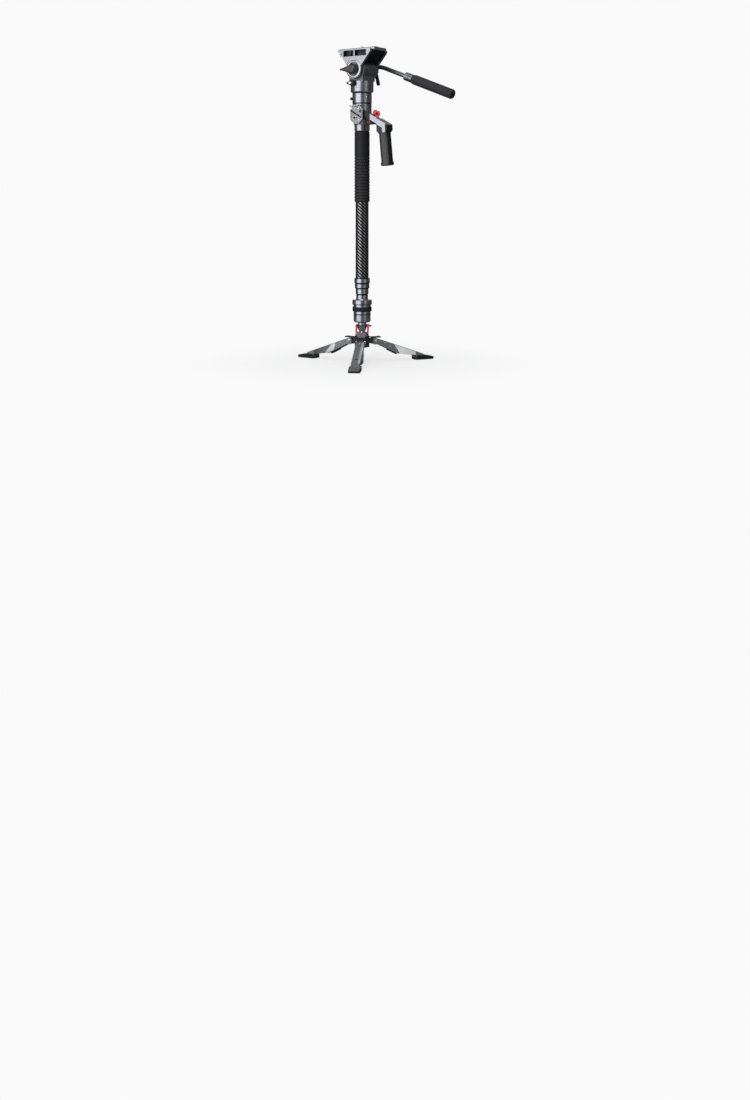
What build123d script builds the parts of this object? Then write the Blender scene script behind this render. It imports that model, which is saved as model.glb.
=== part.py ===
from build123d import *
import os
from math import acos, atan2, cos, degrees, hypot, radians, sin, tan

os.makedirs("parts", exist_ok=True)

# A camera monopod with three folding feet, in millimetres. The pieces are modelled about the
# column's own axis, with the floor at height 0, the pan handle towards +X, the tilt axis along Y
# and the side handle's bracket towards -Y. They are written with the middle of the whole
# monopod's box above the origin.

# Fits and gaps
overrun = 1.0
running_gap = 0.1
swing_gap = 0.3
stop_gap = 0.3

# Legs and hub
leg_turn_deg = 2.2
leg_azimuths_deg = (180 + leg_turn_deg, leg_turn_deg - 60, leg_turn_deg + 60)
foot_toe_length = 29
hinge_radius = 35
hinge_height = 56
hinge_pin_radius = 2.5
hinge_pin_head_radius = 4.5
hinge_pin_head_height = 1.2
leg_width = 22
leg_top_above_hinge = 7
leg_bottom_below_hinge = 10
leg_wall = 4
leg_knee_radius = 98
leg_knee_depth = 22
leg_end_radius = 174
leg_end_thickness = 3
ear_width = 12
ear_radius = 6.2
fork_depth = 8
foot_width = 29
foot_height = 12
foot_overlap = 24
foot_toe_height = 7
foot_corner = 3
pad_inner_radius = 73
pad_outer_radius = 97
pad_thickness = 3
latch_width = 18
latch_thickness = 2.4
latch_inner_reach = 13
latch_outer_reach = 16
hub_drop = 16
hub_height = 30
hub_across_flats = 33
clamp_height = 9
clamp_radius = 16.5
plaque_width = 22
plaque_reach = 18.2
plaque_drop = 4
ball_radius = 10
pivot_rise = 4.6
neck_low_radius = 6
neck_high_radius = 10.8
neck_rise = 26
neck_seal_rise = 17
neck_seal_thickness = 2.6
neck_seal_radius = 12.6
lever_azimuth_deg = 30 + leg_turn_deg
lever_inner_reach = 13.4
lever_thickness = 3.6
lever_width = 7
lever_rise = 23
lever_drop = 4.2
lever_back_reach = 24.5
lever_bar_thickness = 3
lever_tab_reach = 24.5
lever_gusset_drop = 9
lever_tab_height = 4
lever_pin_radius = 2.4

# Fluid pan unit
damper_radius = 22.3
damper_foot_radius = 19.5
damper_height = 28
damper_chamfer = 3.5
damper_groove_height = 13.6
damper_groove_width = 1.6
damper_groove_depth = 0.7
damper_wall = 3
damper_floor = 3
spindle_radius = 8
rotor_radius = 17
rotor_height = 12
band_gap = 0.4
band_radius = 25
band_height = 11.4
band_thickness = 2.4
band_rib_count = 36
band_rib_depth = 0.5
recess_radius = 23
recess_height = 6
top_ring_radius = 25.5
top_ring_foot_radius = 24.6
top_ring_height = 12.5
ring_edge = 1
adapter_radius = 15.5
adapter_height = 13.7
core_neck_radius = 17

# Column
tube_1_diameter = 34
tube_2_diameter = 30
tube_3_diameter = 26
tube_4_diameter = 22
tube_wall = 1.5
tube_socket_depth = 24
collar_3_radius = 16.8
collar_3_height = 15.4
collar_2_radius = 19
collar_2_height = 12.7
collar_1_radius = 20.3
collar_1_height = 13.4
collar_lip = 3
collar_edge = 1
outer_tube_length = 426
section_step = 24
clutch_height = 8
clutch_spigot_length = 12
clutch_slot_width = 1.5
clutch_slot_count = 3
rod_1_radius = 3
rod_2_radius = 5
rod_3_radius = 7
rod_foot_gap = 14
rod_head_length = 24
rod_head_gap = 9.6
grip_textured_length = 117
grip_length = 184
grip_thickness = 2.7
grip_rib_pitch = 7.8
grip_rib_width = 5.2
grip_rib_depth = 0.8
grip_edge = 2

# Clutch housing and quick-release ring
housing_socket_depth = 34
housing_neck_radius = 20
housing_neck_length = 15
housing_taper_length = 12
housing_radius = 25
housing_length = 70.6
housing_roof = 3
housing_groove_depth = 0.8
housing_groove_width = 1.4
cavity_radius = 20.5
spigot_radius = 20
ring_height = 27.4
ring_outer_radius = 25.4
ring_gap = 0.7
button_azimuth_deg = -142
button_radius = 3.6
button_height = 13
button_reach = 29.4
button_inner_reach = 22.4
boss_height = 24
boss_radius = 7
boss_reach = 31.5
knob_stem_radius = 3
knob_radius = 8
knob_washer_thickness = 1.2
knob_length = 12
knob_lobe_count = 6
knob_lobe_radius = 1.4

# Octagonal bracket and side handle
bracket_x = 9
bracket_width = 41
bracket_height = 50
bracket_middle_rise = 41.5
bracket_corner = 13
bracket_front_reach = 36
bracket_plate_thickness = 5
bracket_block_width = 19
bracket_block_depth = 12
accessory_hole_radius = 3.2
accessory_hole_drop = 8.5
accessory_hole_x = 2
accessory_hole_depth = 9
guide_hole_radius = 1.2
guide_hole_spacing = 7
bracket_lip_height = 4
bracket_lip_reach = 2.6
arm_pivot_x = 17
arm_pivot_rise = 51
arm_pivot_radius = 3
arm_root_radius = 7
arm_root_thickness = 5.6
arm_root_front = 30.7
arm_middle_y = -23
arm_width = 16
arm_depth = 15
elbow_x = 105
elbow_drop = 38
elbow_width = 26
arm_wide_from_x = 36
grip_lean_deg = 6
side_grip_depth = 30
side_grip_width = 24
side_grip_length = 91
side_grip_corner = 7
side_grip_cap_height = 8
side_grip_cap_flare = 1.2
cuff_length = 11
cuff_thickness = 1.2
trigger_x = 67
trigger_pin_radius = 1.5
trigger_thickness = 5
trigger_length = 16
trigger_height = 14
trigger_hole_share = 0.3
trigger_slot_length = 17

# Head
pan_foot_radius = 30
pan_foot_height = 11
pan_foot_chamfer = 3
pan_groove = 0.6
adapter_boss_radius = 18
pan_spindle_radius = 12
pan_spindle_height = 14
pan_drum_height = 19
pan_drum_radius = 30
pan_drum_groove_height = 4
pan_drum_groove_depth = 0.8
tilt_axis_rise = 29
tilt_drum_radius = 28
tilt_drum_half_width = 25.7
saddle_length = 44
tilt_shaft_radius = 11
cheek_gap = 0.6
cheek_thickness = 10.4
cheek_boss_radius = 24
cheek_waist_radius = 13
cheek_back_reach = 45
cheek_front_reach = 54
cheek_rise = 50
cheek_edge_height = 7
deck_thickness = 9
deck_gap = 3
web_thickness = 5
web_low_rise = 16
recess_back_x = -33
recess_front_x = 41
recess_drop = 17
recess_depth = 8
recess_roof = 1.2
pan_knob_radius = 8
pan_knob_height = 12.5
pan_knob_reach = 33
pan_knob_thickness = 9
pan_knob_x = -4
wing_reach = 17
wing_thickness = 4
fin_count = 9
fin_pitch = 5
fin_depth = 1.4
fin_width = 2.4

# Tilt lock
tilt_knob_radius = 16
tilt_knob_thickness = 9
tilt_lever_reach = 42
tilt_lever_tip_radius = 3.5
tilt_lever_thickness = 11

# Camera plate and its parts
plate_length = 118
plate_width = 52
plate_thickness = 8
plate_edge = 1.5
plate_slot_length = 62
plate_slot_width = 7
screw_radius = 3.175
screw_length = 6
screw_head_radius = 8
screw_head_thickness = 3
screw_neck_radius = 2.6
pin_radius = 2
pin_rise = 3
pin_x = 45
pin_body_length = 6.5
clamp_knob_x = -12
clamp_knob_radius = 6.6
clamp_knob_length = 8.5
clamp_knob_stem_radius = 2
safety_button_x = 27
safety_button_length = 22
safety_button_height = 8.5
safety_button_depth = 7
safety_button_travel = 2

# Pan handle
handle_reach = 255
handle_y = 50
handle_rod_radius = 5.75
handle_start_x = 2
handle_start_rise = 13
handle_bend_x = 30
handle_bend_rise = 9
handle_slope_deg = 20.5
handle_bend_radius = 60
rosette_radius = 14
rosette_thickness = 7
rosette_gap = 0.6
rosette_bolt_radius = 4
handle_grip_length = 131
handle_grip_radius = 12.8
handle_grip_edge = 5
handle_collar_length = 25
handle_collar_radius = 11
handle_collar_groove = 1.2
rosette_lever_length = 34
rosette_lever_hub_radius = 7
rosette_lever_thickness = 6
rosette_lever_width = 8
rosette_lever_lean_deg = 14

# Reach of the feet from the column's axis
foot_reach = leg_end_radius + foot_toe_length
foot_heel_radius = leg_end_radius - foot_overlap

# Heights up the column, each from the piece below it
hub_low = hinge_height - hub_drop
hub_top = hub_low + hub_height
clamp_top = hub_top + clamp_height
pivot_height = hub_top + pivot_rise
damper_low = clamp_top + neck_rise
damper_top = damper_low + damper_height
band_low = damper_top + band_gap
band_top = band_low + band_height
top_ring_low = band_top + recess_height
top_ring_top = top_ring_low + top_ring_height
adapter_top = top_ring_top + adapter_height
collar_3_low = adapter_top + stop_gap
collar_3_top = collar_3_low + collar_3_height
collar_2_low = collar_3_top + stop_gap
collar_2_top = collar_2_low + collar_2_height
collar_1_low = collar_2_top + stop_gap
collar_1_top = collar_1_low + collar_1_height
tube_1_low = collar_1_low + collar_lip
tube_1_top = tube_1_low + outer_tube_length
housing_height = tube_1_top - housing_socket_depth
grip_low_height = housing_height - grip_length
bracket_middle_height = housing_height + bracket_middle_rise
arm_pivot_height = housing_height + arm_pivot_rise
elbow_height = arm_pivot_height - elbow_drop
housing_top = housing_height + housing_length
ring_low = housing_top + ring_gap
ring_top = ring_low + ring_height
pan_foot_low = ring_top + ring_gap
pan_foot_top = pan_foot_low + pan_foot_height
pan_drum_low = pan_foot_top + pan_groove
pan_drum_top = pan_drum_low + pan_drum_height
tilt_axis_height = pan_drum_top + tilt_axis_rise
cheek_top = tilt_axis_height + cheek_rise
plate_low = cheek_top - deck_gap
plate_top = plate_low + plate_thickness

# The column's place in the whole monopod's box
column_x = (foot_reach - handle_reach) / 2


def save(piece, name, turn_deg=0):
    """Turns a finished piece about the column, puts it in its place and writes it."""
    placed = Pos(column_x, 0, 0) * Rot(0, 0, turn_deg) * piece.part
    placed.label = name
    export_step(placed, f"parts/{name}.step")


def turned(profile, mode=Mode.ADD):
    """Turns an outline of (radius, height) points about the column's axis."""
    with BuildSketch(Plane.XZ) as section:
        with BuildLine():
            Polyline(*profile, close=True)
        make_face()
    revolve(section.sketch, axis=Axis.Z, mode=mode)


def band(low, high, radius, mode=Mode.ADD):
    """A round band about the column's axis between two heights."""
    with BuildSketch(Plane.XY.offset(low)) as disc:
        Circle(radius)
    extrude(disc.sketch, amount=high - low, mode=mode)


def groove(low, high, outer, inner):
    """Cuts a round groove from the outside of a band."""
    with BuildSketch(Plane.XY.offset(low)) as ring:
        Circle(outer + overrun)
        Circle(inner, mode=Mode.SUBTRACT)
    extrude(ring.sketch, amount=high - low, mode=Mode.SUBTRACT)


def side_plate(profile, y_from, y_to, mode=Mode.ADD):
    """Extrudes an outline of (x, height) points across, from one Y to another."""
    with BuildSketch(Plane.XZ.offset(-y_to)) as outline:
        with BuildLine():
            Polyline(*profile, close=True)
        make_face()
    extrude(outline.sketch, amount=y_to - y_from, mode=mode)


def cross_pin(x, height, radius, y_from, y_to, mode=Mode.ADD):
    """A round pin or bore along Y."""
    with BuildSketch(Plane.XZ.offset(-y_to)) as disc:
        with Locations((x, height)):
            Circle(radius)
    extrude(disc.sketch, amount=y_to - y_from, mode=mode)


def radial_pin(azimuth_deg, height, radius, inner, outer, mode=Mode.ADD):
    """A round pin or bore pointing out from the column's axis."""
    heading = Vector(cos(radians(azimuth_deg)), sin(radians(azimuth_deg)), 0)
    start = heading * inner + Vector(0, 0, height)
    with BuildSketch(Plane(origin=start, z_dir=heading)) as disc:
        Circle(radius)
    extrude(disc.sketch, amount=outer - inner, mode=mode)


def block(x_from, x_to, y_from, y_to, low, high, mode=Mode.ADD):
    """A rectangular block between two corners."""
    middle = ((x_from + x_to) / 2, (y_from + y_to) / 2, (low + high) / 2)
    with Locations(middle):
        Box(x_to - x_from, y_to - y_from, high - low, mode=mode)


# The hub: a six-sided block with three lugs and the lower half of the ball's seat
ear_inner_gap = swing_gap + ear_width / 2
hex_turn_deg = 30 + leg_turn_deg

with BuildPart() as leg_hub:
    with BuildSketch(Plane.XY.offset(hub_low)):
        RegularPolygon(hub_across_flats / 2, 6, major_radius=False, rotation=hex_turn_deg)
    extrude(amount=hub_height)
    chamfer(leg_hub.faces().sort_by(Axis.Z)[0].edges(), length=collar_edge)
    with PolarLocations(hinge_radius, 3, start_angle=leg_azimuths_deg[0]):
        with Locations((-hinge_radius / 2, 0, hinge_height)):
            Box(hinge_radius, ear_width, 2 * ear_radius)
        with Locations(Location((0, 0, hinge_height), (90, 0, 0))):
            Cylinder(ear_radius, ear_width)
    with PolarLocations(hinge_radius, 3, start_angle=leg_azimuths_deg[0]):
        with Locations(Location((0, 0, hinge_height), (90, 0, 0))):
            Cylinder(hinge_pin_radius, ear_width + 2 * overrun, mode=Mode.SUBTRACT)
    with Locations((0, 0, pivot_height)):
        Sphere(ball_radius + running_gap, mode=Mode.SUBTRACT)
save(leg_hub, "leg_hub")

# The ball's cap, flattened beside the lever arms, with the plaque over the front leg
cap_flat = lever_inner_reach - swing_gap
front_azimuth_deg = leg_azimuths_deg[1]
front = Vector(cos(radians(front_azimuth_deg)), sin(radians(front_azimuth_deg)), 0)
plaque_plane = Plane(
    origin=front * (hub_across_flats / 2) + Vector(0, 0, hub_top),
    x_dir=front.cross(Vector(0, 0, -1)),
    z_dir=front,
)

with BuildPart() as ball_clamp:
    band(hub_top, clamp_top, clamp_radius)
    chamfer(ball_clamp.faces().sort_by(Axis.Z)[-1].edges(), length=collar_edge)
    with BuildSketch(Plane.XY.offset(hub_top)) as flats:
        Circle(clamp_radius + overrun)
        with Locations(Location((0, 0, 0), (0, 0, lever_azimuth_deg))):
            Rectangle(2 * cap_flat, 2 * clamp_radius + 2 * overrun, mode=Mode.SUBTRACT)
    extrude(flats.sketch, amount=clamp_height, mode=Mode.SUBTRACT)
    with BuildSketch(Plane.XY.offset(hub_top)) as bridge:
        with Locations(Location((0, 0, 0), (0, 0, front_azimuth_deg))):
            with Locations((plaque_reach / 2, 0)):
                Rectangle(plaque_reach, plaque_width)
        with Locations(Location((0, 0, 0), (0, 0, lever_azimuth_deg))):
            Rectangle(2 * cap_flat, 2 * plaque_reach, mode=Mode.INTERSECT)
    extrude(bridge.sketch, amount=clamp_height)
    with BuildSketch(plaque_plane) as shield:
        with BuildLine():
            Polyline(
                (-plaque_width / 2, 0),
                (-plaque_width / 3, -plaque_drop),
                (plaque_width / 3, -plaque_drop),
                (plaque_width / 2, 0),
                close=True,
            )
        make_face()
    extrude(shield.sketch, amount=plaque_reach - hub_across_flats / 2)
    with Locations((0, 0, pivot_height)):
        Sphere(ball_radius + running_gap, mode=Mode.SUBTRACT)
    radial_pin(
        lever_azimuth_deg, pivot_height, lever_pin_radius + running_gap,
        -clamp_radius, clamp_radius, mode=Mode.SUBTRACT,
    )
save(ball_clamp, "ball_clamp")

# One leg, modelled along +X and turned to its place
leg_slope = (leg_top_above_hinge + hinge_height - foot_height - leg_end_thickness) / (
    leg_end_radius - hinge_radius
)


def leg_top_at(radius):
    """Height of the leg's straight top line at a distance from the column."""
    return hinge_height + leg_top_above_hinge - leg_slope * (radius - hinge_radius)


knee_bottom = leg_top_at(leg_knee_radius) - leg_knee_depth
leg_heel_radius = hinge_radius - fork_depth
leg_side = leg_width / 2

with BuildPart() as leg_pins:
    with PolarLocations(hinge_radius, 3, start_angle=leg_azimuths_deg[0]):
        with Locations(Location((0, 0, hinge_height), (90, 0, 0))):
            Cylinder(hinge_pin_radius, leg_width)
        for side in (-1, 1):
            head_middle = side * (leg_side + hinge_pin_head_height / 2)
            with Locations(Location((0, head_middle, hinge_height), (90, 0, 0))):
                Cylinder(hinge_pin_head_radius, hinge_pin_head_height)
save(leg_pins, "leg_pins")

leg_outline = (
    (leg_heel_radius, leg_top_at(hinge_radius)),
    (hinge_radius, leg_top_at(hinge_radius)),
    (leg_end_radius, foot_height + leg_end_thickness),
    (leg_end_radius, foot_height),
    (foot_heel_radius, foot_height),
    (leg_knee_radius, knee_bottom),
    (hinge_radius + fork_depth, hinge_height - leg_bottom_below_hinge),
    (leg_heel_radius, hinge_height - leg_bottom_below_hinge),
)
pocket_start = hinge_radius + fork_depth + leg_wall
pocket_outline = (
    (pocket_start, leg_top_at(pocket_start) - leg_wall),
    (foot_heel_radius, leg_top_at(foot_heel_radius) - leg_wall),
    (foot_heel_radius, -overrun),
    (pocket_start, -overrun),
)
fork_outline = (
    (leg_heel_radius - overrun, hinge_height + leg_top_above_hinge + overrun),
    (pocket_start, hinge_height + leg_top_above_hinge + overrun),
    (pocket_start, hinge_height - leg_bottom_below_hinge - overrun),
    (leg_heel_radius - overrun, hinge_height - leg_bottom_below_hinge - overrun),
)

with BuildPart() as leg:
    side_plate(leg_outline, -leg_side, leg_side)
    heel_edges = leg.edges().filter_by(Axis.Y).group_by(Axis.X)[0]
    fillet(heel_edges, radius=leg_bottom_below_hinge / 2)
    long_edges = leg.edges().filter_by(Plane.XZ).filter_by(GeomType.LINE)
    chamfer(long_edges.group_by(Edge.length)[-1], length=collar_edge)
    side_plate(pocket_outline, leg_wall - leg_side, leg_side - leg_wall, mode=Mode.SUBTRACT)
    side_plate(fork_outline, -ear_inner_gap, ear_inner_gap, mode=Mode.SUBTRACT)
    cross_pin(
        hinge_radius, hinge_height, hinge_pin_radius + running_gap,
        -leg_side - overrun, leg_side + overrun, mode=Mode.SUBTRACT,
    )

# The rubber foot under the leg's end
foot_side = foot_width / 2
foot_outline = (
    (foot_heel_radius, 0),
    (foot_reach - foot_corner, 0),
    (foot_reach, foot_corner),
    (foot_reach, foot_toe_height),
    (leg_end_radius + foot_corner, foot_height),
    (foot_heel_radius + foot_corner, foot_height),
    (foot_heel_radius, foot_height - foot_corner),
)

with BuildPart() as leg_foot:
    side_plate(foot_outline, -foot_side, foot_side)
    fillet(leg_foot.edges().filter_by(Axis.Z), radius=foot_corner)

# The bumper under the leg's knee, seated in the leg's open underside
bumper_side = leg_side - leg_wall - running_gap


def leg_bottom_at(radius):
    """Height of the leg's underside between the hinge and the knee."""
    start = hinge_radius + fork_depth
    share = (radius - start) / (leg_knee_radius - start)
    start_height = hinge_height - leg_bottom_below_hinge
    return start_height + share * (knee_bottom - start_height)


pad_outline = (
    (pad_inner_radius, leg_top_at(pad_inner_radius) - leg_wall),
    (pad_outer_radius, leg_top_at(pad_outer_radius) - leg_wall),
    (pad_outer_radius, leg_bottom_at(pad_outer_radius) - pad_thickness),
    (pad_inner_radius, leg_bottom_at(pad_inner_radius) - pad_thickness),
)

with BuildPart() as leg_pad:
    side_plate(pad_outline, -bumper_side, bumper_side)

# The sprung latch that slides over the hinge, forked round the hub's ear
latch_low = hinge_height + leg_top_above_hinge + swing_gap
latch_top = latch_low + latch_thickness
latch_outline = (
    (hinge_radius - latch_inner_reach, latch_low),
    (hinge_radius + latch_outer_reach - latch_thickness, latch_low),
    (hinge_radius + latch_outer_reach, latch_top + latch_thickness / 4),
    (hinge_radius + latch_outer_reach - latch_thickness, latch_top + latch_thickness / 4),
    (hinge_radius + latch_outer_reach - 2 * latch_thickness, latch_top),
    (hinge_radius - latch_inner_reach + latch_thickness, latch_top),
    (hinge_radius - latch_inner_reach, latch_low + latch_thickness / 2),
)

with BuildPart() as leg_latch:
    side_plate(latch_outline, -latch_width / 2, latch_width / 2)
    block(
        hinge_radius - latch_inner_reach - overrun, pocket_start,
        -ear_inner_gap, ear_inner_gap, latch_low - overrun, latch_top + overrun,
        mode=Mode.SUBTRACT,
    )

for number, azimuth_deg in enumerate(leg_azimuths_deg, start=1):
    save(leg, f"leg_{number}", azimuth_deg)
    save(leg_foot, f"leg_foot_{number}", azimuth_deg)
    save(leg_pad, f"leg_pad_{number}", azimuth_deg)
    save(leg_latch, f"leg_latch_{number}", azimuth_deg)

# The red stirrup lever: two arms with stub pins, a bar behind the neck and a thumb tab.
# It is modelled with its pins along X and its bar towards +Y, and turned to its place.
lever_outer_reach = lever_inner_reach + lever_thickness
lever_top = pivot_height + lever_rise
lever_back = lever_back_reach - lever_bar_thickness
arm_side_outline = (
    (-lever_width / 2, pivot_height),
    (-lever_width / 2, lever_top),
    (lever_back_reach, lever_top),
    (lever_back_reach, lever_top - lever_width),
    (lever_back, lever_top - lever_width),
    (lever_width / 2, lever_top - lever_width - lever_gusset_drop),
    (lever_width / 2, pivot_height),
)

with BuildPart() as ball_lock_lever:
    for reach in (lever_inner_reach, -lever_outer_reach):
        with BuildSketch(Plane.YZ.offset(reach)) as arm_side:
            with BuildLine():
                Polyline(*arm_side_outline, close=True)
            make_face()
            with Locations((0, pivot_height)):
                Circle(lever_drop)
        extrude(arm_side.sketch, amount=lever_thickness)
    block(
        -lever_outer_reach, lever_outer_reach, lever_back, lever_back_reach,
        lever_top - lever_width, lever_top,
    )
    block(
        lever_inner_reach, lever_tab_reach, -lever_width / 2, lever_width / 2,
        lever_top - lever_tab_height, lever_top,
    )
    pin_inner_reach = ball_radius + 2 * swing_gap
    for start in (pin_inner_reach, -lever_inner_reach):
        with BuildSketch(Plane.YZ.offset(start)) as stub:
            with Locations((0, pivot_height)):
                Circle(lever_pin_radius)
        extrude(stub.sketch, amount=lever_inner_reach - pin_inner_reach)
save(ball_lock_lever, "ball_lock_lever", lever_azimuth_deg)

# The ball with its cone neck and the spindle that carries the fluid unit
neck_low = clamp_top
neck_top = damper_low - swing_gap
seal_height = clamp_top + neck_seal_rise
seal_inner = neck_high_radius - neck_seal_thickness / 2
seal_low = seal_height - neck_seal_thickness / 2
seal_top = seal_height + neck_seal_thickness / 2
spindle_top = damper_top - damper_floor

with BuildPart() as ball_stem:
    with Locations((0, 0, pivot_height)):
        Sphere(ball_radius)
    turned(
        (
            (0, pivot_height),
            (neck_low_radius, pivot_height),
            (neck_low_radius, neck_low),
            (neck_high_radius, seal_low),
            (seal_inner, seal_low),
            (seal_inner, seal_top),
            (neck_high_radius, seal_top),
            (neck_high_radius, neck_top),
            (spindle_radius, neck_top),
            (spindle_radius, spindle_top),
            (0, spindle_top),
        )
    )
save(ball_stem, "ball_stem")

with BuildPart() as neck_seal:
    turned(
        (
            (seal_inner, seal_low),
            (neck_seal_radius - ring_edge, seal_low),
            (neck_seal_radius, seal_low + ring_edge),
            (neck_seal_radius, seal_top - ring_edge),
            (neck_seal_radius - ring_edge, seal_top),
            (seal_inner, seal_top),
        )
    )
save(neck_seal, "neck_seal")

# The rotor turns in the fluid of the housing, with four vanes
rotor_low = damper_low + damper_floor + (damper_height - rotor_height) / 2

with BuildPart() as damper_rotor:
    band(rotor_low, rotor_low + rotor_height, (spindle_radius + rotor_radius) / 2)
    with BuildSketch(Plane.XY.offset(rotor_low)) as vanes:
        with PolarLocations(rotor_radius / 2, 4):
            Rectangle(rotor_radius, 2 * damper_wall)
    extrude(vanes.sketch, amount=rotor_height)
    band(rotor_low - overrun, rotor_low + rotor_height + overrun, spindle_radius, mode=Mode.SUBTRACT)
save(damper_rotor, "damper_rotor")

# The fluid unit's housing, with a bore for the spindle and a neck for the lock ring
inner_neck_radius = band_radius - band_thickness - damper_wall
damper_cavity_radius = rotor_radius + swing_gap

with BuildPart() as damper_housing:
    turned(
        (
            (0, damper_low),
            (damper_foot_radius, damper_low),
            (damper_radius, damper_low + damper_chamfer),
            (damper_radius, damper_top),
            (inner_neck_radius, damper_top),
            (inner_neck_radius, top_ring_low),
            (0, top_ring_low),
        )
    )
    groove_low = damper_low + damper_groove_height
    groove(
        groove_low, groove_low + damper_groove_width,
        damper_radius, damper_radius - damper_groove_depth,
    )
    band(damper_low - overrun, spindle_top + swing_gap, spindle_radius + running_gap, mode=Mode.SUBTRACT)
    band(
        rotor_low - swing_gap, rotor_low + rotor_height + swing_gap,
        damper_cavity_radius, mode=Mode.SUBTRACT,
    )
save(damper_housing, "damper_housing")

# The lock ring and its rubber band turn about the housing's neck
ring_bore = inner_neck_radius + running_gap
sleeve_radius = band_radius - band_thickness

with BuildPart() as base_lock_ring:
    band(band_low, band_top, sleeve_radius)
    band(band_top, top_ring_low - stop_gap, recess_radius)
    band(band_low - overrun, top_ring_low + overrun, ring_bore, mode=Mode.SUBTRACT)
save(base_lock_ring, "base_lock_ring")

with BuildPart() as base_lock_grip:
    band(band_low, band_top, band_radius)
    chamfer(base_lock_grip.edges().filter_by(GeomType.CIRCLE), length=ring_edge)
    with BuildSketch(Plane.XY.offset(band_low)) as flutes:
        with PolarLocations(band_radius + band_rib_depth, band_rib_count):
            Circle(2 * band_rib_depth)
    extrude(flutes.sketch, amount=band_height, mode=Mode.SUBTRACT)
    band(band_low - overrun, band_top + overrun, sleeve_radius, mode=Mode.SUBTRACT)
save(base_lock_grip, "base_lock_grip")

# Tube sizes, from the outside in
tube_radii = {
    1: tube_1_diameter / 2,
    2: tube_2_diameter / 2,
    3: tube_3_diameter / 2,
    4: tube_4_diameter / 2,
}
bore_radii = {number: radius - tube_wall for number, radius in tube_radii.items()}
tube_lows = {
    1: tube_1_low,
    2: collar_2_low + collar_lip,
    3: collar_3_low + collar_lip,
    4: adapter_top - tube_socket_depth,
}
clutch_pitch = clutch_height + clutch_spigot_length + section_step / 6
tube_tops = {1: tube_1_top}
tube_tops[2] = housing_height - clutch_height - section_step / 2
tube_tops[3] = tube_tops[2] - clutch_pitch
tube_tops[4] = tube_tops[3] - clutch_pitch

# The top ring and socket that hold the lowest tube
with BuildPart() as base_adapter:
    turned(
        (
            (0, top_ring_low),
            (top_ring_foot_radius, top_ring_low),
            (top_ring_radius, top_ring_low + ring_edge),
            (top_ring_radius, top_ring_top - ring_edge),
            (top_ring_radius - ring_edge, top_ring_top),
            (core_neck_radius, top_ring_top),
            (adapter_radius, top_ring_top + 2 * ring_edge),
            (adapter_radius, adapter_top - ring_edge),
            (adapter_radius - ring_edge, adapter_top),
            (0, adapter_top),
        )
    )
    band(tube_lows[4], adapter_top + overrun, tube_radii[4], mode=Mode.SUBTRACT)
save(base_adapter, "base_adapter")

for number, radius in tube_radii.items():
    with BuildPart() as tube:
        band(tube_lows[number], tube_tops[number], radius)
        band(
            tube_lows[number] - overrun, tube_tops[number] + overrun,
            bore_radii[number], mode=Mode.SUBTRACT,
        )
    save(tube, f"tube_{number}")


def collar(low, top, outer, number):
    """An end collar: it holds its own tube and guides the next one inside it."""
    turned(
        (
            (0, low),
            (outer - collar_edge, low),
            (outer, low + collar_edge),
            (outer, top - collar_edge),
            (outer - collar_edge, top),
            (0, top),
        )
    )
    band(tube_lows[number], top + overrun, tube_radii[number], mode=Mode.SUBTRACT)
    band(low - overrun, top, tube_radii[number + 1] + running_gap, mode=Mode.SUBTRACT)


with BuildPart() as collar_3:
    collar(collar_3_low, collar_3_top, collar_3_radius, 3)
save(collar_3, "collar_3")

with BuildPart() as collar_2:
    collar(collar_2_low, collar_2_top, collar_2_radius, 2)
save(collar_2, "collar_2")

with BuildPart() as collar_1:
    collar(collar_1_low, collar_1_top, collar_1_radius, 1)
save(collar_1, "collar_1")

# The expanding clutches on the tops of the inner tubes, and the rods that turn them
rod_bores = {
    2: rod_2_radius,
    3: rod_3_radius,
    4: rod_3_radius + running_gap,
}

for number, rod_bore in rod_bores.items():
    tube_top = tube_tops[number]
    with BuildPart() as clutch:
        band(tube_top - clutch_spigot_length, tube_top, bore_radii[number])
        band(tube_top, tube_top + clutch_height, bore_radii[number - 1] - running_gap)
        band(
            tube_top - clutch_spigot_length - overrun, tube_top + clutch_height + overrun,
            rod_bore, mode=Mode.SUBTRACT,
        )
        with BuildSketch(Plane.XY.offset(tube_top + collar_edge)) as slots:
            with PolarLocations(bore_radii[number - 1], clutch_slot_count):
                Rectangle(bore_radii[number - 1] - rod_bore, clutch_slot_width)
        extrude(slots.sketch, amount=clutch_height, mode=Mode.SUBTRACT)
    save(clutch, f"clutch_{number}")

rod_tops = {
    1: housing_top - housing_roof - rod_head_gap,
    2: tube_tops[2] + clutch_height,
    3: tube_tops[3] + clutch_height,
}
rod_low = tube_lows[4] + rod_foot_gap

with BuildPart() as drive_rod_1:
    band(rod_low, rod_tops[1], rod_1_radius)
    band(rod_tops[1] - rod_head_length, rod_tops[1], cavity_radius - 2 * swing_gap)
    chamfer(drive_rod_1.faces().sort_by(Axis.Z)[-1].edges(), length=collar_edge)
save(drive_rod_1, "drive_rod_1")

with BuildPart() as drive_rod_2:
    band(rod_low, rod_tops[2], rod_2_radius)
    band(rod_low - overrun, rod_tops[2] + overrun, rod_1_radius + running_gap, mode=Mode.SUBTRACT)
save(drive_rod_2, "drive_rod_2")

with BuildPart() as drive_rod_3:
    band(rod_low, rod_tops[3], rod_3_radius)
    band(rod_low - overrun, rod_tops[3] + overrun, rod_2_radius + running_gap, mode=Mode.SUBTRACT)
save(drive_rod_3, "drive_rod_3")

# The rubber grip on the outer tube: ribbed below, smooth above
grip_radius = tube_radii[1] + grip_thickness
grip_top = grip_low_height + grip_length - stop_gap
rib_count = int(grip_textured_length / grip_rib_pitch)

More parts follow.
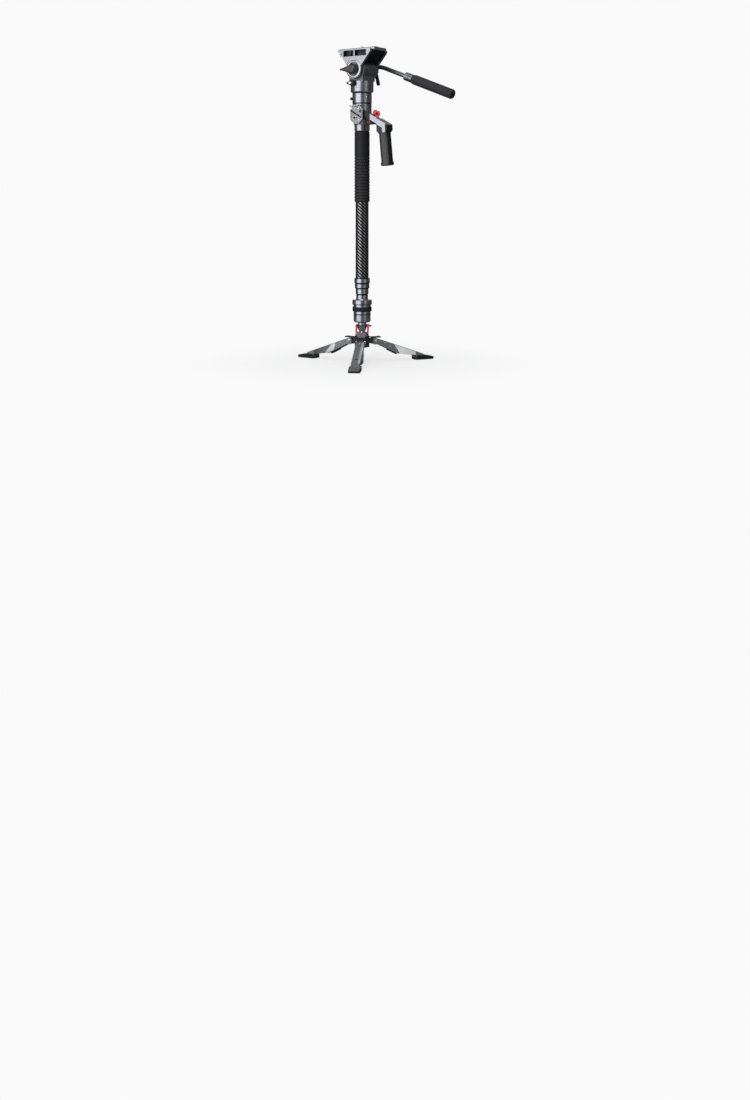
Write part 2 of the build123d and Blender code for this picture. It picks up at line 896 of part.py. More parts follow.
with BuildPart() as column_grip:
    turned(
        (
            (0, grip_low_height),
            (grip_radius - grip_edge, grip_low_height),
            (grip_radius, grip_low_height + grip_edge),
            (grip_radius, grip_top - grip_edge),
            (grip_radius - grip_edge, grip_top),
            (0, grip_top),
        )
    )
    for rib in range(rib_count):
        gap_low = grip_low_height + grip_edge + rib * grip_rib_pitch + grip_rib_width
        gap_high = gap_low + grip_rib_pitch - grip_rib_width
        groove(gap_low, gap_high, grip_radius, grip_radius - grip_rib_depth)
    band(grip_low_height - overrun, grip_top + overrun, tube_radii[1], mode=Mode.SUBTRACT)
save(column_grip, "column_grip")

# The clutch housing: neck, taper, main body and the spigot of the quick-release ring
taper_low = housing_height + housing_neck_length
taper_top = taper_low + housing_taper_length
ring_inner = spigot_radius + running_gap
socket_floor = housing_top - housing_roof
boss_z = housing_height + boss_height

with BuildPart() as clutch_housing:
    turned(
        (
            (0, housing_height),
            (housing_neck_radius - ring_edge, housing_height),
            (housing_neck_radius, housing_height + ring_edge),
            (housing_neck_radius, taper_low),
            (housing_radius, taper_top),
            (housing_radius, housing_top - ring_edge),
            (housing_radius - ring_edge, housing_top),
            (spigot_radius, housing_top),
            (spigot_radius, ring_top),
            (adapter_boss_radius, ring_top),
            (adapter_boss_radius, housing_top),
            (0, housing_top),
        )
    )
    with BuildSketch(Plane.YZ) as boss_end:
        with Locations((0, boss_z)):
            Circle(boss_radius)
    extrude(boss_end.sketch, amount=boss_reach)
    for fraction in (1, 2):
        groove_at = taper_top + fraction * (housing_top - taper_top) / 3
        groove(
            groove_at, groove_at + housing_groove_width,
            housing_radius, housing_radius - housing_groove_depth,
        )
    band(housing_height - overrun, tube_1_top, tube_radii[1], mode=Mode.SUBTRACT)
    band(tube_1_top, socket_floor, cavity_radius, mode=Mode.SUBTRACT)
    with BuildSketch(Plane.YZ.offset(housing_radius - housing_roof)) as boss_bore:
        with Locations((0, boss_z)):
            Circle(knob_stem_radius + running_gap)
    extrude(boss_bore.sketch, amount=boss_reach, mode=Mode.SUBTRACT)
save(clutch_housing, "clutch_housing")

with BuildPart() as housing_knob:
    knob_start = boss_reach + swing_gap
    stem_start = housing_radius - housing_roof + swing_gap
    with BuildSketch(Plane.YZ.offset(stem_start)) as stem_end:
        with Locations((0, boss_z)):
            Circle(knob_stem_radius)
    extrude(stem_end.sketch, amount=knob_start - stem_start + knob_washer_thickness)
    with BuildSketch(Plane.YZ.offset(knob_start)) as washer_face:
        with Locations((0, boss_z)):
            Circle(boss_radius)
    extrude(washer_face.sketch, amount=knob_washer_thickness)
    with BuildSketch(Plane.YZ.offset(knob_start + knob_washer_thickness)) as knob_face:
        with Locations((0, boss_z)):
            Circle(knob_radius)
            with PolarLocations(knob_radius, knob_lobe_count):
                Circle(knob_lobe_radius, mode=Mode.SUBTRACT)
    extrude(knob_face.sketch, amount=knob_length)
    chamfer(housing_knob.faces().sort_by(Axis.X)[-1].edges(), length=collar_edge)
save(housing_knob, "housing_knob")

# The quick-release ring about the spigot, with a radial hole for its button
button_z = ring_low + button_height

with BuildPart() as head_lock_ring:
    band(ring_low, ring_top, ring_outer_radius)
    chamfer(head_lock_ring.edges().filter_by(GeomType.CIRCLE), length=collar_edge)
    band(ring_low - overrun, ring_top + overrun, ring_inner, mode=Mode.SUBTRACT)
    radial_pin(
        button_azimuth_deg, button_z, button_radius + running_gap,
        spigot_radius, ring_outer_radius + overrun, mode=Mode.SUBTRACT,
    )
save(head_lock_ring, "head_lock_ring")

with BuildPart() as head_release_button:
    radial_pin(0, button_z, button_radius, button_inner_reach, button_reach)
    chamfer(head_release_button.faces().sort_by(Axis.X)[-1].edges(), length=collar_edge)
save(head_release_button, "head_release_button", button_azimuth_deg)

# The octagonal bracket, saddled on the housing, with its accessory hole
bracket_back = bracket_front_reach - bracket_plate_thickness
half_wide = bracket_width / 2
half_tall = bracket_height / 2
bracket_low = bracket_middle_height - half_tall
bracket_high = bracket_middle_height + half_tall
octagon = (
    (bracket_x - half_wide, bracket_middle_height - half_tall + bracket_corner),
    (bracket_x - half_wide + bracket_corner, bracket_low),
    (bracket_x + half_wide - bracket_corner, bracket_low),
    (bracket_x + half_wide, bracket_middle_height - half_tall + bracket_corner),
    (bracket_x + half_wide, bracket_high - bracket_corner),
    (bracket_x + half_wide - bracket_corner, bracket_high),
    (bracket_x - half_wide + bracket_corner, bracket_high),
    (bracket_x - half_wide, bracket_high - bracket_corner),
)
hole_z = bracket_middle_height - accessory_hole_drop

with BuildPart() as octagon_bracket:
    side_plate(octagon, -bracket_front_reach, -bracket_back)
    chamfer(octagon_bracket.faces().sort_by(Axis.Y)[0].edges(), length=collar_edge)
    block(
        bracket_x - half_wide + collar_edge, bracket_x - half_wide + bracket_block_width,
        -bracket_back, bracket_block_depth - bracket_back,
        taper_top + collar_edge, bracket_high - collar_edge,
    )
    block(
        bracket_x - half_wide + bracket_corner, bracket_x + half_wide - bracket_corner,
        -bracket_front_reach - bracket_lip_reach, -bracket_back,
        bracket_high - bracket_lip_height, bracket_high,
    )
    band(hub_low, ring_top, housing_radius, mode=Mode.SUBTRACT)
    cross_pin(
        accessory_hole_x, hole_z, accessory_hole_radius,
        -bracket_front_reach - overrun, accessory_hole_depth - bracket_front_reach,
        mode=Mode.SUBTRACT,
    )
    for side in (-1, 1):
        cross_pin(
            accessory_hole_x + side * guide_hole_spacing, hole_z, guide_hole_radius,
            -bracket_front_reach - overrun, overrun - bracket_back, mode=Mode.SUBTRACT,
        )
    cross_pin(
        arm_pivot_x, arm_pivot_height, arm_pivot_radius,
        -bracket_front_reach + overrun, -arm_root_front + arm_root_thickness,
    )
save(octagon_bracket, "octagon_bracket")

# The side handle's arm: root on the pivot, sloping bar, elbow and cuff around the grip
arm_run = elbow_x - arm_pivot_x
arm_slope_deg = degrees(atan2(arm_pivot_height + arm_root_radius - elbow_height, arm_run))
arm_front = arm_middle_y - arm_width / 2
arm_back = arm_middle_y + arm_width / 2
root_front = -arm_root_front
root_back = root_front + arm_root_thickness


def arm_top_at(x):
    """Height of the arm's top line."""
    return elbow_height + (elbow_x - x) * tan(radians(arm_slope_deg))


grip_axis_x = elbow_x - side_grip_depth / 2
grip_plane = Plane(
    origin=(grip_axis_x, arm_middle_y, elbow_height - arm_depth * 2 / 3),
    x_dir=(cos(radians(grip_lean_deg)), 0, sin(radians(grip_lean_deg))),
    z_dir=(sin(radians(grip_lean_deg)), 0, -cos(radians(grip_lean_deg))),
)


def faceted(depth, width, corner):
    """The side grip's section: a rectangle with its corners cut off."""
    with BuildLine() as outline:
        Polyline(
            (-depth / 2 + corner, -width / 2),
            (depth / 2 - corner, -width / 2),
            (depth / 2, -width / 2 + corner),
            (depth / 2, width / 2 - corner),
            (depth / 2 - corner, width / 2),
            (-depth / 2 + corner, width / 2),
            (-depth / 2, width / 2 - corner),
            (-depth / 2, -width / 2 + corner),
            close=True,
        )
    make_face(outline.edges())


arm_bar = (
    (arm_wide_from_x, arm_top_at(arm_wide_from_x)),
    (elbow_x, elbow_height),
    (elbow_x, elbow_height - arm_depth),
    (elbow_x - side_grip_depth, arm_top_at(elbow_x - side_grip_depth) - arm_depth),
    (arm_wide_from_x, arm_top_at(arm_wide_from_x) - arm_depth),
)
arm_root = (
    (arm_pivot_x, arm_top_at(arm_pivot_x)),
    (arm_wide_from_x + overrun, arm_top_at(arm_wide_from_x + overrun)),
    (arm_wide_from_x + overrun, arm_top_at(arm_wide_from_x + overrun) - arm_depth),
    (arm_pivot_x, arm_pivot_height - arm_root_radius),
)
trigger_pin_z = arm_top_at(trigger_x) - arm_depth / 2
slot_outline = (
    (trigger_x - trigger_slot_length / 2, arm_top_at(trigger_x) - arm_depth * 3 / 4),
    (trigger_x + trigger_slot_length / 2, arm_top_at(trigger_x) - arm_depth * 3 / 4),
    (trigger_x + trigger_slot_length / 2, arm_top_at(trigger_x) + arm_depth),
    (trigger_x - trigger_slot_length / 2, arm_top_at(trigger_x) + arm_depth),
)
slot_side = trigger_thickness / 2 + swing_gap

with BuildPart() as side_arm:
    side_plate(arm_root, root_front, root_back)
    cross_pin(arm_pivot_x, arm_pivot_height, arm_root_radius, root_front, root_back)
    side_plate(arm_bar, arm_front, arm_back)
    side_plate(arm_bar[1:4], arm_middle_y - elbow_width / 2, arm_middle_y + elbow_width / 2)
    with BuildSketch(grip_plane) as cuff:
        faceted(
            side_grip_depth + 2 * cuff_thickness, side_grip_width + 2 * cuff_thickness,
            side_grip_corner,
        )
    extrude(cuff.sketch, amount=cuff_length)
    with BuildSketch(grip_plane.offset(cuff_length / 3)) as grip_socket:
        faceted(side_grip_depth, side_grip_width, side_grip_corner)
    extrude(grip_socket.sketch, amount=side_grip_length, mode=Mode.SUBTRACT)
    cross_pin(
        arm_pivot_x, arm_pivot_height, arm_pivot_radius + running_gap,
        root_front - overrun, root_back + overrun, mode=Mode.SUBTRACT,
    )
    side_plate(
        slot_outline, arm_middle_y - slot_side, arm_middle_y + slot_side, mode=Mode.SUBTRACT
    )
    cross_pin(
        trigger_x, trigger_pin_z, trigger_pin_radius,
        arm_front + overrun, arm_back - overrun,
    )
save(side_arm, "side_arm")

with BuildPart() as side_grip:
    with BuildSketch(grip_plane.offset(cuff_length / 3)) as grip_section:
        faceted(side_grip_depth, side_grip_width, side_grip_corner)
    extrude(grip_section.sketch, amount=side_grip_length - side_grip_cap_height)
    cap_start = cuff_length / 3 + side_grip_length - side_grip_cap_height
    with BuildSketch(grip_plane.offset(cap_start)) as cap_section:
        faceted(
            side_grip_depth + 2 * side_grip_cap_flare,
            side_grip_width + 2 * side_grip_cap_flare, side_grip_corner,
        )
    extrude(cap_section.sketch, amount=side_grip_cap_height)
    chamfer(side_grip.faces().sort_by(Axis.Z)[0].edges(), length=2 * collar_edge)
save(side_grip, "side_grip")

# The red trigger: a loop above the arm on a stem that turns on a pin in the arm's slot
trigger_low = arm_top_at(trigger_x) - arm_depth * 3 / 4 + 3 * swing_gap
loop_low = arm_top_at(trigger_x) + trigger_height / 8
loop_high = loop_low + trigger_height
trigger_outline = (
    (trigger_x - trigger_length / 5, trigger_low),
    (trigger_x + trigger_length / 5, trigger_low),
    (trigger_x + trigger_length / 5, loop_low),
    (trigger_x + trigger_length / 2, loop_low + trigger_height / 3),
    (trigger_x + trigger_length / 3, loop_high),
    (trigger_x - trigger_length / 2, loop_high),
    (trigger_x - trigger_length / 2, loop_high - trigger_height / 3),
    (trigger_x - trigger_length / 5, loop_low),
)

with BuildPart() as trigger:
    side_plate(trigger_outline, arm_middle_y - trigger_thickness / 2, arm_middle_y + trigger_thickness / 2)
    cross_pin(
        trigger_x, (loop_low + loop_high) / 2, trigger_height * trigger_hole_share,
        arm_front, arm_back, mode=Mode.SUBTRACT,
    )
    cross_pin(
        trigger_x, trigger_pin_z, trigger_pin_radius + running_gap,
        arm_front, arm_back, mode=Mode.SUBTRACT,
    )
save(trigger, "trigger")

# The head's foot: a boss in the quick-release ring, a chamfered disc and the pan spindle
spindle_high = pan_foot_top + pan_spindle_height
cheek_inner = tilt_drum_half_width + cheek_gap
cheek_outer = cheek_inner + cheek_thickness

with BuildPart() as head_adapter:
    turned(
        (
            (0, housing_top),
            (adapter_boss_radius - running_gap, housing_top),
            (adapter_boss_radius - running_gap, pan_foot_low),
            (pan_foot_radius - pan_foot_chamfer, pan_foot_low),
            (pan_foot_radius, pan_foot_low + pan_foot_chamfer),
            (pan_foot_radius, pan_foot_top),
            (pan_spindle_radius, pan_foot_top),
            (pan_spindle_radius, spindle_high),
            (0, spindle_high),
        )
    )
save(head_adapter, "head_adapter")

# The head's core: pan drum, saddle and tilt drum, with ribs on its back
saddle_half = saddle_length / 2
fin_side = (fin_count - 1) * fin_pitch / 2
knob_z = pan_drum_low + pan_knob_height

with BuildPart() as head_core:
    band(pan_drum_low, pan_drum_top, pan_drum_radius)
    chamfer(head_core.faces().sort_by(Axis.Z)[-1].edges(), length=collar_edge)
    groove_low = pan_drum_low + pan_drum_groove_height
    groove(
        groove_low, groove_low + collar_edge,
        pan_drum_radius, pan_drum_radius - pan_drum_groove_depth,
    )
    block(
        -saddle_half, saddle_half, -tilt_drum_half_width, tilt_drum_half_width,
        pan_drum_top - collar_edge, tilt_axis_height,
    )
    cross_pin(0, tilt_axis_height, tilt_drum_radius, -tilt_drum_half_width, tilt_drum_half_width)
    for flute in range(fin_count - 1):
        flute_y = flute * fin_pitch - fin_side + fin_width / 2
        with BuildSketch(Plane.XZ.offset(-flute_y - fin_pitch + fin_width)) as flute_face:
            with Locations((0, tilt_axis_height)):
                Circle(tilt_drum_radius + overrun)
                Circle(tilt_drum_radius - fin_depth, mode=Mode.SUBTRACT)
            with Locations((saddle_half, tilt_axis_height)):
                Rectangle(
                    2 * tilt_drum_radius, 2 * tilt_drum_radius,
                    align=(Align.MIN, Align.MAX), mode=Mode.INTERSECT,
                )
        extrude(flute_face.sketch, amount=fin_pitch - fin_width, mode=Mode.SUBTRACT)
    cross_pin(
        pan_knob_x, knob_z, knob_stem_radius + running_gap,
        -pan_drum_radius - overrun, -pan_drum_radius / 2, mode=Mode.SUBTRACT,
    )
    cross_pin(
        0, tilt_axis_height, tilt_shaft_radius,
        -tilt_drum_half_width - overrun, tilt_drum_half_width + overrun, mode=Mode.SUBTRACT,
    )
    band(
        pan_drum_low - overrun, spindle_high + swing_gap,
        pan_spindle_radius + running_gap, mode=Mode.SUBTRACT,
    )
save(head_core, "head_core")

with BuildPart() as tilt_shaft:
    cross_pin(0, tilt_axis_height, tilt_shaft_radius, -cheek_outer, cheek_outer)
save(tilt_shaft, "tilt_shaft")

# The pan lock: a short stem in the drum's side and a wing knob
with BuildPart() as pan_lock_knob:
    cross_pin(
        pan_knob_x, knob_z, pan_knob_radius,
        -pan_knob_reach - pan_knob_thickness, -pan_knob_reach,
    )
    wing = (
        (pan_knob_x, knob_z - pan_knob_radius + collar_edge),
        (pan_knob_x - wing_reach, knob_z - wing_thickness / 2),
        (pan_knob_x - wing_reach, knob_z + wing_thickness / 2),
        (pan_knob_x, knob_z + pan_knob_radius - collar_edge),
    )
    wing_back = collar_edge - pan_knob_reach - pan_knob_thickness / 2
    side_plate(wing, -pan_knob_reach - pan_knob_thickness, wing_back)
    cross_pin(pan_knob_x, knob_z, knob_stem_radius, -pan_knob_reach, -pan_drum_radius * 3 / 4)
save(pan_lock_knob, "pan_lock_knob")

# The tilting platform: two V-shaped cheeks on the shaft, sloping webs between them and a deck


def tangent_point(corner_x, corner_rise):
    """Where a line from a corner of the V touches the waist circle inside the cheek's boss."""
    distance = hypot(corner_x, corner_rise)
    heading = atan2(corner_rise, abs(corner_x)) - acos(cheek_waist_radius / distance)
    side = 1 if corner_x > 0 else -1
    return (
        side * cheek_waist_radius * cos(heading),
        tilt_axis_height + cheek_waist_radius * sin(heading),
    )


corner_rise = cheek_rise - cheek_edge_height
corner_height = tilt_axis_height + corner_rise
cheek_outline = (
    (-cheek_back_reach, cheek_top),
    (-cheek_back_reach, corner_height),
    tangent_point(-cheek_back_reach, corner_rise),
    (0, tilt_axis_height),
    tangent_point(cheek_front_reach, corner_rise),
    (cheek_front_reach, corner_height),
    (cheek_front_reach, cheek_top),
)


def web_outline(reach):
    """The sloping web under one edge of the V, clear of the tilt drum."""
    side = 1 if reach > 0 else -1
    touch_x, touch_z = tangent_point(reach, corner_rise)
    share = (tilt_axis_height + web_low_rise - touch_z) / (corner_height - touch_z)
    low_x = touch_x + share * (reach - touch_x)
    low_z = tilt_axis_height + web_low_rise
    return (
        (reach, cheek_top - deck_gap),
        (reach, corner_height),
        (low_x, low_z),
        (low_x - side * web_thickness / 2, low_z + web_thickness),
        (reach - side * 2 * web_thickness, cheek_top - deck_gap),
    )


deck_top = plate_low - swing_gap
knob_seat_z = cheek_top - (recess_drop + recess_roof) / 2

with BuildPart() as tilt_platform:
    for side in (-1, 1):
        y_from = min(side * cheek_inner, side * cheek_outer)
        side_plate(cheek_outline, y_from, y_from + cheek_thickness)
        cross_pin(0, tilt_axis_height, cheek_boss_radius, y_from, y_from + cheek_thickness)
    side_plate(web_outline(-cheek_back_reach), -cheek_inner, cheek_inner)
    side_plate(web_outline(cheek_front_reach), -cheek_inner, cheek_inner)
    block(
        -cheek_back_reach, cheek_front_reach, -cheek_inner, cheek_inner,
        deck_top - deck_thickness, deck_top,
    )
    cross_pin(
        0, tilt_axis_height, tilt_drum_radius + swing_gap,
        -cheek_inner, cheek_inner, mode=Mode.SUBTRACT,
    )
    block(
        recess_back_x, recess_front_x, -cheek_outer - overrun, recess_depth - cheek_outer,
        cheek_top - recess_drop, cheek_top - recess_roof, mode=Mode.SUBTRACT,
    )
    cross_pin(
        0, tilt_axis_height, tilt_shaft_radius + running_gap,
        -cheek_outer - overrun, cheek_outer + overrun, mode=Mode.SUBTRACT,
    )
    block(
        -cheek_back_reach - overrun, cheek_front_reach + overrun,
        -plate_width / 2 - running_gap, plate_width / 2 + running_gap,
        deck_top, cheek_top + overrun, mode=Mode.SUBTRACT,
    )
    cross_pin(
        clamp_knob_x, knob_seat_z, clamp_knob_stem_radius + running_gap,
        -cheek_outer, -cheek_inner, mode=Mode.SUBTRACT,
    )
save(tilt_platform, "tilt_platform")

# The clamp knob and the safety button in the cheek's recess
recess_floor = recess_depth - cheek_outer

with BuildPart() as plate_clamp_knob:
    cross_pin(
        clamp_knob_x, knob_seat_z, clamp_knob_radius,
        recess_floor - swing_gap - clamp_knob_length, recess_floor - swing_gap,
    )
    chamfer(plate_clamp_knob.faces().sort_by(Axis.Y)[0].edges(), length=collar_edge)
    cross_pin(
        clamp_knob_x, knob_seat_z, clamp_knob_stem_radius,
        recess_floor - swing_gap, -cheek_inner - swing_gap,
    )
save(plate_clamp_knob, "plate_clamp_knob")

with BuildPart() as plate_release_button:
    button_low = cheek_top - recess_drop + running_gap
    block(
        safety_button_x - safety_button_length / 2, safety_button_x + safety_button_length / 2,
        recess_floor - safety_button_depth - safety_button_travel - swing_gap,
        recess_floor - safety_button_travel - swing_gap,
        button_low, button_low + safety_button_height,
    )
    chamfer(plate_release_button.faces().sort_by(Axis.Y)[0].edges(), length=collar_edge)
save(plate_release_button, "plate_release_button")

# The tilt lock: a round knob with a teardrop lever on the shaft's near end
tilt_knob_back = -cheek_outer - swing_gap
tilt_knob_front = tilt_knob_back - tilt_knob_thickness
lever_front = tilt_knob_back - tilt_lever_thickness
tip_x = -tilt_lever_reach + tilt_lever_tip_radius
teardrop = (
    (0, tilt_axis_height + tilt_knob_radius - 2 * collar_edge),
    (tip_x, tilt_axis_height + tilt_lever_tip_radius),
    (tip_x, tilt_axis_height - tilt_lever_tip_radius),
    (0, tilt_axis_height - tilt_knob_radius + 2 * collar_edge),
)

with BuildPart() as tilt_lock_lever:
    cross_pin(0, tilt_axis_height, tilt_knob_radius, tilt_knob_front, tilt_knob_back)
    side_plate(teardrop, lever_front, tilt_knob_back - tilt_lever_thickness / 3)
    tip_back = tilt_knob_back - tilt_lever_thickness / 3
    cross_pin(tip_x, tilt_axis_height, tilt_lever_tip_radius, lever_front, tip_back)
    chamfer(tilt_lock_lever.faces().sort_by(Axis.Y)[0].edges(), length=collar_edge)
save(tilt_lock_lever, "tilt_lock_lever")

# The sliding camera plate, with its slot, end stop, screw and sprung pin
plate_half = plate_length / 2
screw_plane = plate_low + screw_head_thickness

with BuildPart() as camera_plate:
    block(-plate_half, plate_half, -plate_width / 2, plate_width / 2, plate_low, plate_top)
    chamfer(camera_plate.faces().sort_by(Axis.Z)[-1].edges(), length=plate_edge)
    with BuildSketch(Plane.XY.offset(plate_low)) as slot:
        SlotOverall(plate_slot_length, plate_slot_width)
    extrude(slot.sketch, amount=plate_thickness, mode=Mode.SUBTRACT)
    with BuildSketch(Plane.XY.offset(plate_low)) as head_track:
        SlotOverall(plate_slot_length + 2 * screw_head_radius, 2 * screw_head_radius + 2 * swing_gap)
    extrude(head_track.sketch, amount=screw_head_thickness + 2 * swing_gap, mode=Mode.SUBTRACT)
    with BuildSketch(Plane.XY.offset(plate_low)) as pin_hole:
        with Locations((pin_x, 0)):
            Circle(pin_radius + running_gap)
    extrude(pin_hole.sketch, amount=plate_thickness, mode=Mode.SUBTRACT)
save(camera_plate, "camera_plate")

with BuildPart() as camera_screw:
    band(plate_low + swing_gap, screw_plane + swing_gap, screw_head_radius)
    band(screw_plane + swing_gap, plate_top, screw_neck_radius)
    band(plate_top, plate_top + screw_length, screw_radius)
    chamfer(camera_screw.faces().sort_by(Axis.Z)[-1].edges(), length=screw_radius / 4)
    with BuildSketch(Plane.XY.offset(plate_low + swing_gap)) as coin_slot:
        Rectangle(2 * screw_head_radius, screw_radius / 2)
    extrude(coin_slot.sketch, amount=screw_head_thickness / 2, mode=Mode.SUBTRACT)
save(camera_screw, "camera_screw")

with BuildPart() as plate_pin:
    with BuildSketch(Plane.XY.offset(plate_top + pin_rise - pin_body_length)) as pin_foot:
        with Locations((pin_x, 0)):
            Circle(pin_radius)
    extrude(pin_foot.sketch, amount=pin_body_length)
    chamfer(plate_pin.faces().sort_by(Axis.Z)[-1].edges(), length=pin_radius / 3)
save(plate_pin, "plate_pin")

# The pan handle: rosette and block on the far cheek, a bent rod, a collar and a grip
handle_slope = radians(handle_slope_deg)
bend_z = tilt_axis_height + handle_bend_rise
start_z = tilt_axis_height + handle_start_rise
grip_end_x = handle_reach - handle_grip_radius * sin(handle_slope)
grip_end_run = (grip_end_x - handle_bend_x) / cos(handle_slope)
grip_start_run = grip_end_run - handle_grip_length
collar_start_run = grip_start_run - handle_collar_length
rod_axis = Plane(
    origin=(handle_bend_x, handle_y, bend_z),
    x_dir=(sin(handle_slope), 0, cos(handle_slope)),
    z_dir=(cos(handle_slope), 0, -sin(handle_slope)),
)
rosette_start = cheek_outer + rosette_gap
rosette_end = rosette_start + rosette_thickness
bolt_end = handle_y + handle_rod_radius + swing_gap

with BuildPart() as pan_handle_rod:
    with BuildLine() as rod_path:
        FilletPolyline(
            (handle_start_x, handle_y, start_z),
            (handle_bend_x, handle_y, bend_z),
            (
                handle_bend_x + grip_end_run * cos(handle_slope) * 3 / 4,
                handle_y,
                bend_z - grip_end_run * sin(handle_slope) * 3 / 4,
            ),
            radius=handle_bend_radius,
        )
    with BuildSketch(Plane(origin=rod_path.line @ 0, z_dir=rod_path.line % 0)) as rod_end:
        Circle(handle_rod_radius)
    sweep(rod_end.sketch, path=rod_path.line)
    cross_pin(0, tilt_axis_height, rosette_radius, rosette_start, rosette_end)
    block(
        -rosette_radius / 2, rosette_radius, rosette_start, handle_y + handle_rod_radius / 2,
        tilt_axis_height, start_z + handle_rod_radius / 2,
    )
    cross_pin(0, tilt_axis_height, rosette_bolt_radius, rosette_end, bolt_end)
save(pan_handle_rod, "pan_handle_rod")

with BuildPart() as handle_collar:
    with BuildSketch(rod_axis.offset(collar_start_run)) as collar_section:
        Circle(handle_collar_radius)
        Circle(handle_rod_radius, mode=Mode.SUBTRACT)
    extrude(collar_section.sketch, amount=handle_collar_length)
    with BuildSketch(rod_axis.offset(collar_start_run + handle_collar_length / 2)) as collar_groove:
        Circle(handle_collar_radius + overrun)
        Circle(handle_collar_radius - handle_collar_groove, mode=Mode.SUBTRACT)
    extrude(collar_groove.sketch, amount=handle_collar_groove, mode=Mode.SUBTRACT)
save(handle_collar, "handle_collar")

with BuildPart() as pan_handle_grip:
    with BuildSketch(rod_axis.offset(grip_start_run)) as handle_section:
        Circle(handle_grip_radius)
    extrude(handle_section.sketch, amount=handle_grip_length)
    fillet(pan_handle_grip.edges().filter_by(GeomType.CIRCLE), radius=handle_grip_edge)
    with BuildSketch(rod_axis.offset(grip_start_run - overrun)) as rod_bore:
        Circle(handle_rod_radius)
    extrude(rod_bore.sketch, amount=grip_end_run * 3 / 4 - grip_start_run + overrun, mode=Mode.SUBTRACT)
save(pan_handle_grip, "pan_handle_grip")

# The lever that clamps the rosette, hanging from the bolt's end
lever_y = bolt_end + swing_gap
lean = radians(rosette_lever_lean_deg)
hub_z = tilt_axis_height
tip = (rosette_lever_length * sin(lean), hub_z - rosette_lever_length * cos(lean))
half = rosette_lever_width / 2
rosette_arm = (
    (-half * cos(lean), hub_z - half * sin(lean)),
    (tip[0] - half * cos(lean), tip[1] - half * sin(lean)),
    (tip[0] + half * cos(lean), tip[1] + half * sin(lean)),
    (half * cos(lean), hub_z + half * sin(lean)),
)

with BuildPart() as rosette_lever:
    cross_pin(0, hub_z, rosette_lever_hub_radius, lever_y, lever_y + rosette_lever_thickness)
    side_plate(rosette_arm, lever_y, lever_y + rosette_lever_thickness)
    cross_pin(tip[0], tip[1], half, lever_y, lever_y + rosette_lever_thickness)
    chamfer(rosette_lever.faces().sort_by(Axis.Y)[-1].edges(), length=collar_edge)
save(rosette_lever, "rosette_lever")
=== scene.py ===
import math
import bmesh
import bpy
from mathutils import Matrix, Vector


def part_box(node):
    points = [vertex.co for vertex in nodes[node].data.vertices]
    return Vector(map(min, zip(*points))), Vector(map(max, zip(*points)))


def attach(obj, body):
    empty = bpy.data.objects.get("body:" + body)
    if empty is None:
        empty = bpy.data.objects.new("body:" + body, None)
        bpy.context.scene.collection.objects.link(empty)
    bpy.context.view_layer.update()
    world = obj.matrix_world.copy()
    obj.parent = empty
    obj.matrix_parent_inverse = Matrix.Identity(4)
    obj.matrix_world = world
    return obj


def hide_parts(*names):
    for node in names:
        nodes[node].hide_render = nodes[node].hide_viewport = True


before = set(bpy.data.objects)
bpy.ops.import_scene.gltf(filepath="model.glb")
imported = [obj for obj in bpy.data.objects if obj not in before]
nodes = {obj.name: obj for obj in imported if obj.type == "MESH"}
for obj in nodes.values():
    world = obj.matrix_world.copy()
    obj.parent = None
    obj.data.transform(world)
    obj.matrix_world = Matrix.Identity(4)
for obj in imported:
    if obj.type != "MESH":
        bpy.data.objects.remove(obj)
scene = bpy.context.scene
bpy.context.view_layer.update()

# Places and sizes are in millimetres from the column's axis and the floor. COLUMN_X, the axis, is in metres
MM = 0.001
tube_low, tube_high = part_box("tube_1")
COLUMN_X = (tube_low[0] + tube_high[0]) / 2

# Directions of the legs round the column, in degrees
LEG_TURN = 2.2
LEG_AZIMUTHS = {1: 180 + LEG_TURN, 2: LEG_TURN - 60, 3: LEG_TURN + 60}


def corners(node):
    """Low and high corners of a node's box."""
    return [((x - COLUMN_X) / MM, y / MM, z / MM) for x, y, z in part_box(node)]


def low_z(node):
    """Lowest height of a node."""
    return corners(node)[0][2]


def high_z(node):
    """Highest height of a node."""
    return corners(node)[1][2]


def reach_y(node):
    """How far a node reaches from the column's axis along Y."""
    return corners(node)[1][1]


# Photograph: 750 by 1100 pixels, seen level from the front right
PHOTO_HEIGHT = 1100
PHOTO_WIDTH = 750
COLUMN_PIXEL_X = 362.1
HORIZON_PIXEL_Y = 197
PIXEL_SIZE = 2.6
CAMERA_DISTANCE = 3200
CAMERA_HEIGHT = 430
CAMERA_AZIMUTH = -52
SENSOR = 36


def make_camera():
    """A level camera, shifted so that upright edges stay upright."""
    data = bpy.data.cameras.new("photo_camera")
    camera = bpy.data.objects.new("photo_camera", data)
    scene.collection.objects.link(camera)
    away = math.radians(CAMERA_AZIMUTH)
    camera.location = (
        COLUMN_X + CAMERA_DISTANCE * MM * math.cos(away),
        CAMERA_DISTANCE * MM * math.sin(away),
        CAMERA_HEIGHT * MM,
    )
    camera.rotation_euler = (math.pi / 2, 0, away + math.pi / 2)
    focal_pixels = CAMERA_DISTANCE / PIXEL_SIZE
    data.sensor_width = SENSOR
    data.lens = focal_pixels * SENSOR / PHOTO_HEIGHT
    data.shift_x = (PHOTO_WIDTH / 2 - COLUMN_PIXEL_X) / PHOTO_HEIGHT
    data.shift_y = (HORIZON_PIXEL_Y - PHOTO_HEIGHT / 2) / PHOTO_HEIGHT
    data.clip_start = 0.05
    data.clip_end = 60
    scene.camera = camera


# Materials


